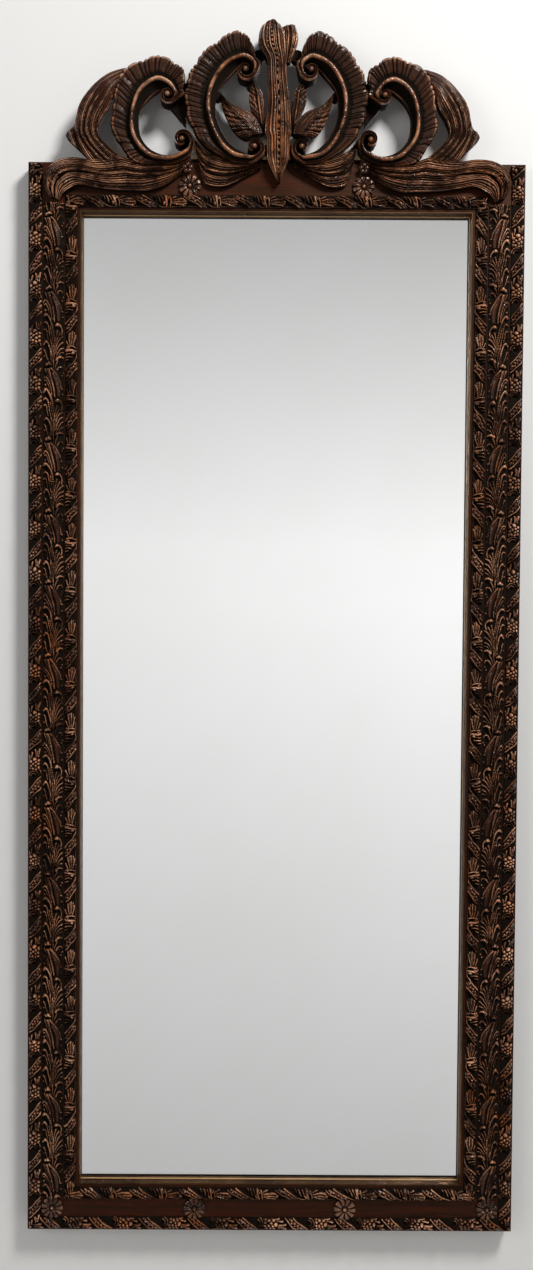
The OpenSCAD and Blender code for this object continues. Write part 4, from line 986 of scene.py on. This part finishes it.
def centre_leaf():
    """The tall middle leaf with its beaded rib, and the curl to its right."""
    points, h, t, f = leaf_grid(*CENTRE, 330, 84, flutes=5, depth=3, strands=2)
    beaded = ease(0.1, 0.2, t) * ease(0.99, 0.9, t)
    h = h - 2.2 * np.exp(-((f - 0.5) / 0.11) ** 4) * beaded
    h = h + 3.4 * np.exp(-((f - 0.5) / 0.05) ** 2) * beaded * np.abs(np.sin(math.pi * 31 * t)) ** 1.5
    h = h + 1.5 * ease(0.2, 0.08, t) * ease(0, 0.5, 1 - np.abs(2 * f - 0.9))
    # More rub and painted highlight towards the top of the leaf.
    set_leaf("centre_leaf", points, h, 1, polish_and_highlight=0.1 + 0.38 * ease(0.45, 0.75, t))
    points, h, t, f = leaf_grid(*CURL, 90, 36, flutes=3, depth=3, strands=3, wander=0.02)
    h = h + 3 * ease(0.45, 0.8, f) * np.abs(np.sin(math.pi * 2.6 * t))
    set_leaf("centre_curl", points, h, -1)


centre_leaf()


# Stage, light and camera

FLOOR_Z, PAINT = -0.45, (0.72, 0.71, 0.69, 1)


def paint_material(name, rough, see_through_back):
    """Wall or floor paint. The wall is clear from behind, in shadows and in spread light."""
    material = bpy.data.materials.new(name)
    net = empty_net(material)
    surface = net.add("ShaderNodeBsdfPrincipled", {"Base Color": PAINT, "Roughness": rough}).outputs[0]
    if see_through_back:
        back = net.add("ShaderNodeNewGeometry").outputs["Backfacing"]
        path = net.add("ShaderNodeLightPath").outputs
        hidden = net.maths("MAXIMUM", path["Is Shadow Ray"], path["Is Diffuse Ray"])
        hidden = net.maths("MAXIMUM", back, hidden)
        clear = net.add("ShaderNodeBsdfTransparent").outputs[0]
        surface = net.add("ShaderNodeMixShader", {0: hidden, 1: surface, 2: clear}).outputs[0]
    net.add("ShaderNodeOutputMaterial", {"Surface": surface})
    return material


def sheet(name, low, high, material):
    """A flat sheet of the stage, from one corner to the opposite one."""
    mesh = bpy.data.meshes.new(name)
    mesh.from_pydata([low, (high[0], *low[1:]), high, (low[0], *high[1:])], [], [(0, 1, 2, 3)])
    mesh.materials.append(material)
    placed(name, mesh)


sheet("wall", (-4, 0.001, FLOOR_Z), (4, 0.001, 3.5), paint_material("wall_paint", 0.9, True))
sheet("floor", (-4, -0.85, FLOOR_Z), (4, 1.5, FLOOR_Z), paint_material("floor_paint", 0.8, False))


def aimed(name, data, place, right, up, back):
    """A lamp or a camera at its place, which looks away from back."""
    made = placed(name, data)
    made.matrix_world = Matrix.Translation(place) @ Matrix(np.stack([right, up, back], 1).tolist()).to_4x4()
    return made


def lamp(name, place, target, size, power):
    """A round white lamp, turned towards its target."""
    light = bpy.data.lights.new(name, "AREA")
    light.shape, light.size, light.energy = "DISK", size, power
    back = np.subtract(place, target)
    back = back / np.linalg.norm(back)
    right = np.cross((0, 0, 1), back)
    right = right / np.linalg.norm(right)
    aimed(name, light, place, right, np.cross(back, right), back)


lamp("window_light", (1.2, -1.9, 3.1), (0, 0, 1), 0.8, 92)
lamp("fill_light", (-2.2, -2.6, 1.5), (0, 0, 0.9), 1.6, 20)
lamp("back_light", (0.9, 2.6, 2.3), (0, 0, 0.9), 1.6, 70)


def grey(level):
    return (level, level, level, 1)


def room():
    """What the glass shows, brightest along the horizon and to the right, and a softer light for the rest."""
    world = bpy.data.worlds.new("room")
    net = empty_net(world)
    path = net.add("ShaderNodeLightPath").outputs
    way = net.add("ShaderNodeTexCoord").outputs["Generated"]
    x, _, z = net.add("ShaderNodeSeparateXYZ", {"Vector": way}).outputs
    level = net.times(net.ramp(z, -0.42, -0.02), net.ramp(z, 0.25, 0.02))
    wide = net.blend(level, grey(0.46), net.blend(net.ramp(x, -0.12, 0.16), grey(0.82), grey(1)))
    soft = net.blend(path["Is Glossy Ray"], (0.26, 0.26, 0.265, 1), grey(0.12))
    colour = net.blend(path["Is Transmission Ray"], soft, wide)
    back = net.add("ShaderNodeBackground", {"Color": colour, "Strength": 1})
    net.add("ShaderNodeOutputWorld", {"Surface": back.outputs[0]})
    bpy.context.scene.world = world


room()
bpy.context.scene.view_settings.view_transform = "Standard"


def photograph_camera():
    """The camera of the photograph, with its turn, tilt and roll in radians."""
    yaw, down, roll = 0.0008, 0.0397, 0.0055
    forward = np.array([math.sin(yaw) * math.cos(down), math.cos(yaw) * math.cos(down), -math.sin(down)])
    right = np.array([math.cos(yaw), -math.sin(yaw), 0])
    up = np.cross(right, forward)
    right, up = math.cos(roll) * right + math.sin(roll) * up, -math.sin(roll) * right + math.cos(roll) * up
    data = bpy.data.cameras.new("camera")
    data.sensor_width, data.lens, data.shift_x = 36, 41.85, 0.0496
    data.clip_start, data.clip_end = 0.05, 50
    bpy.context.scene.camera = aimed("camera", data, (-0.1038, -2.1769, 0.9661), right, up, -forward)


photograph_camera()
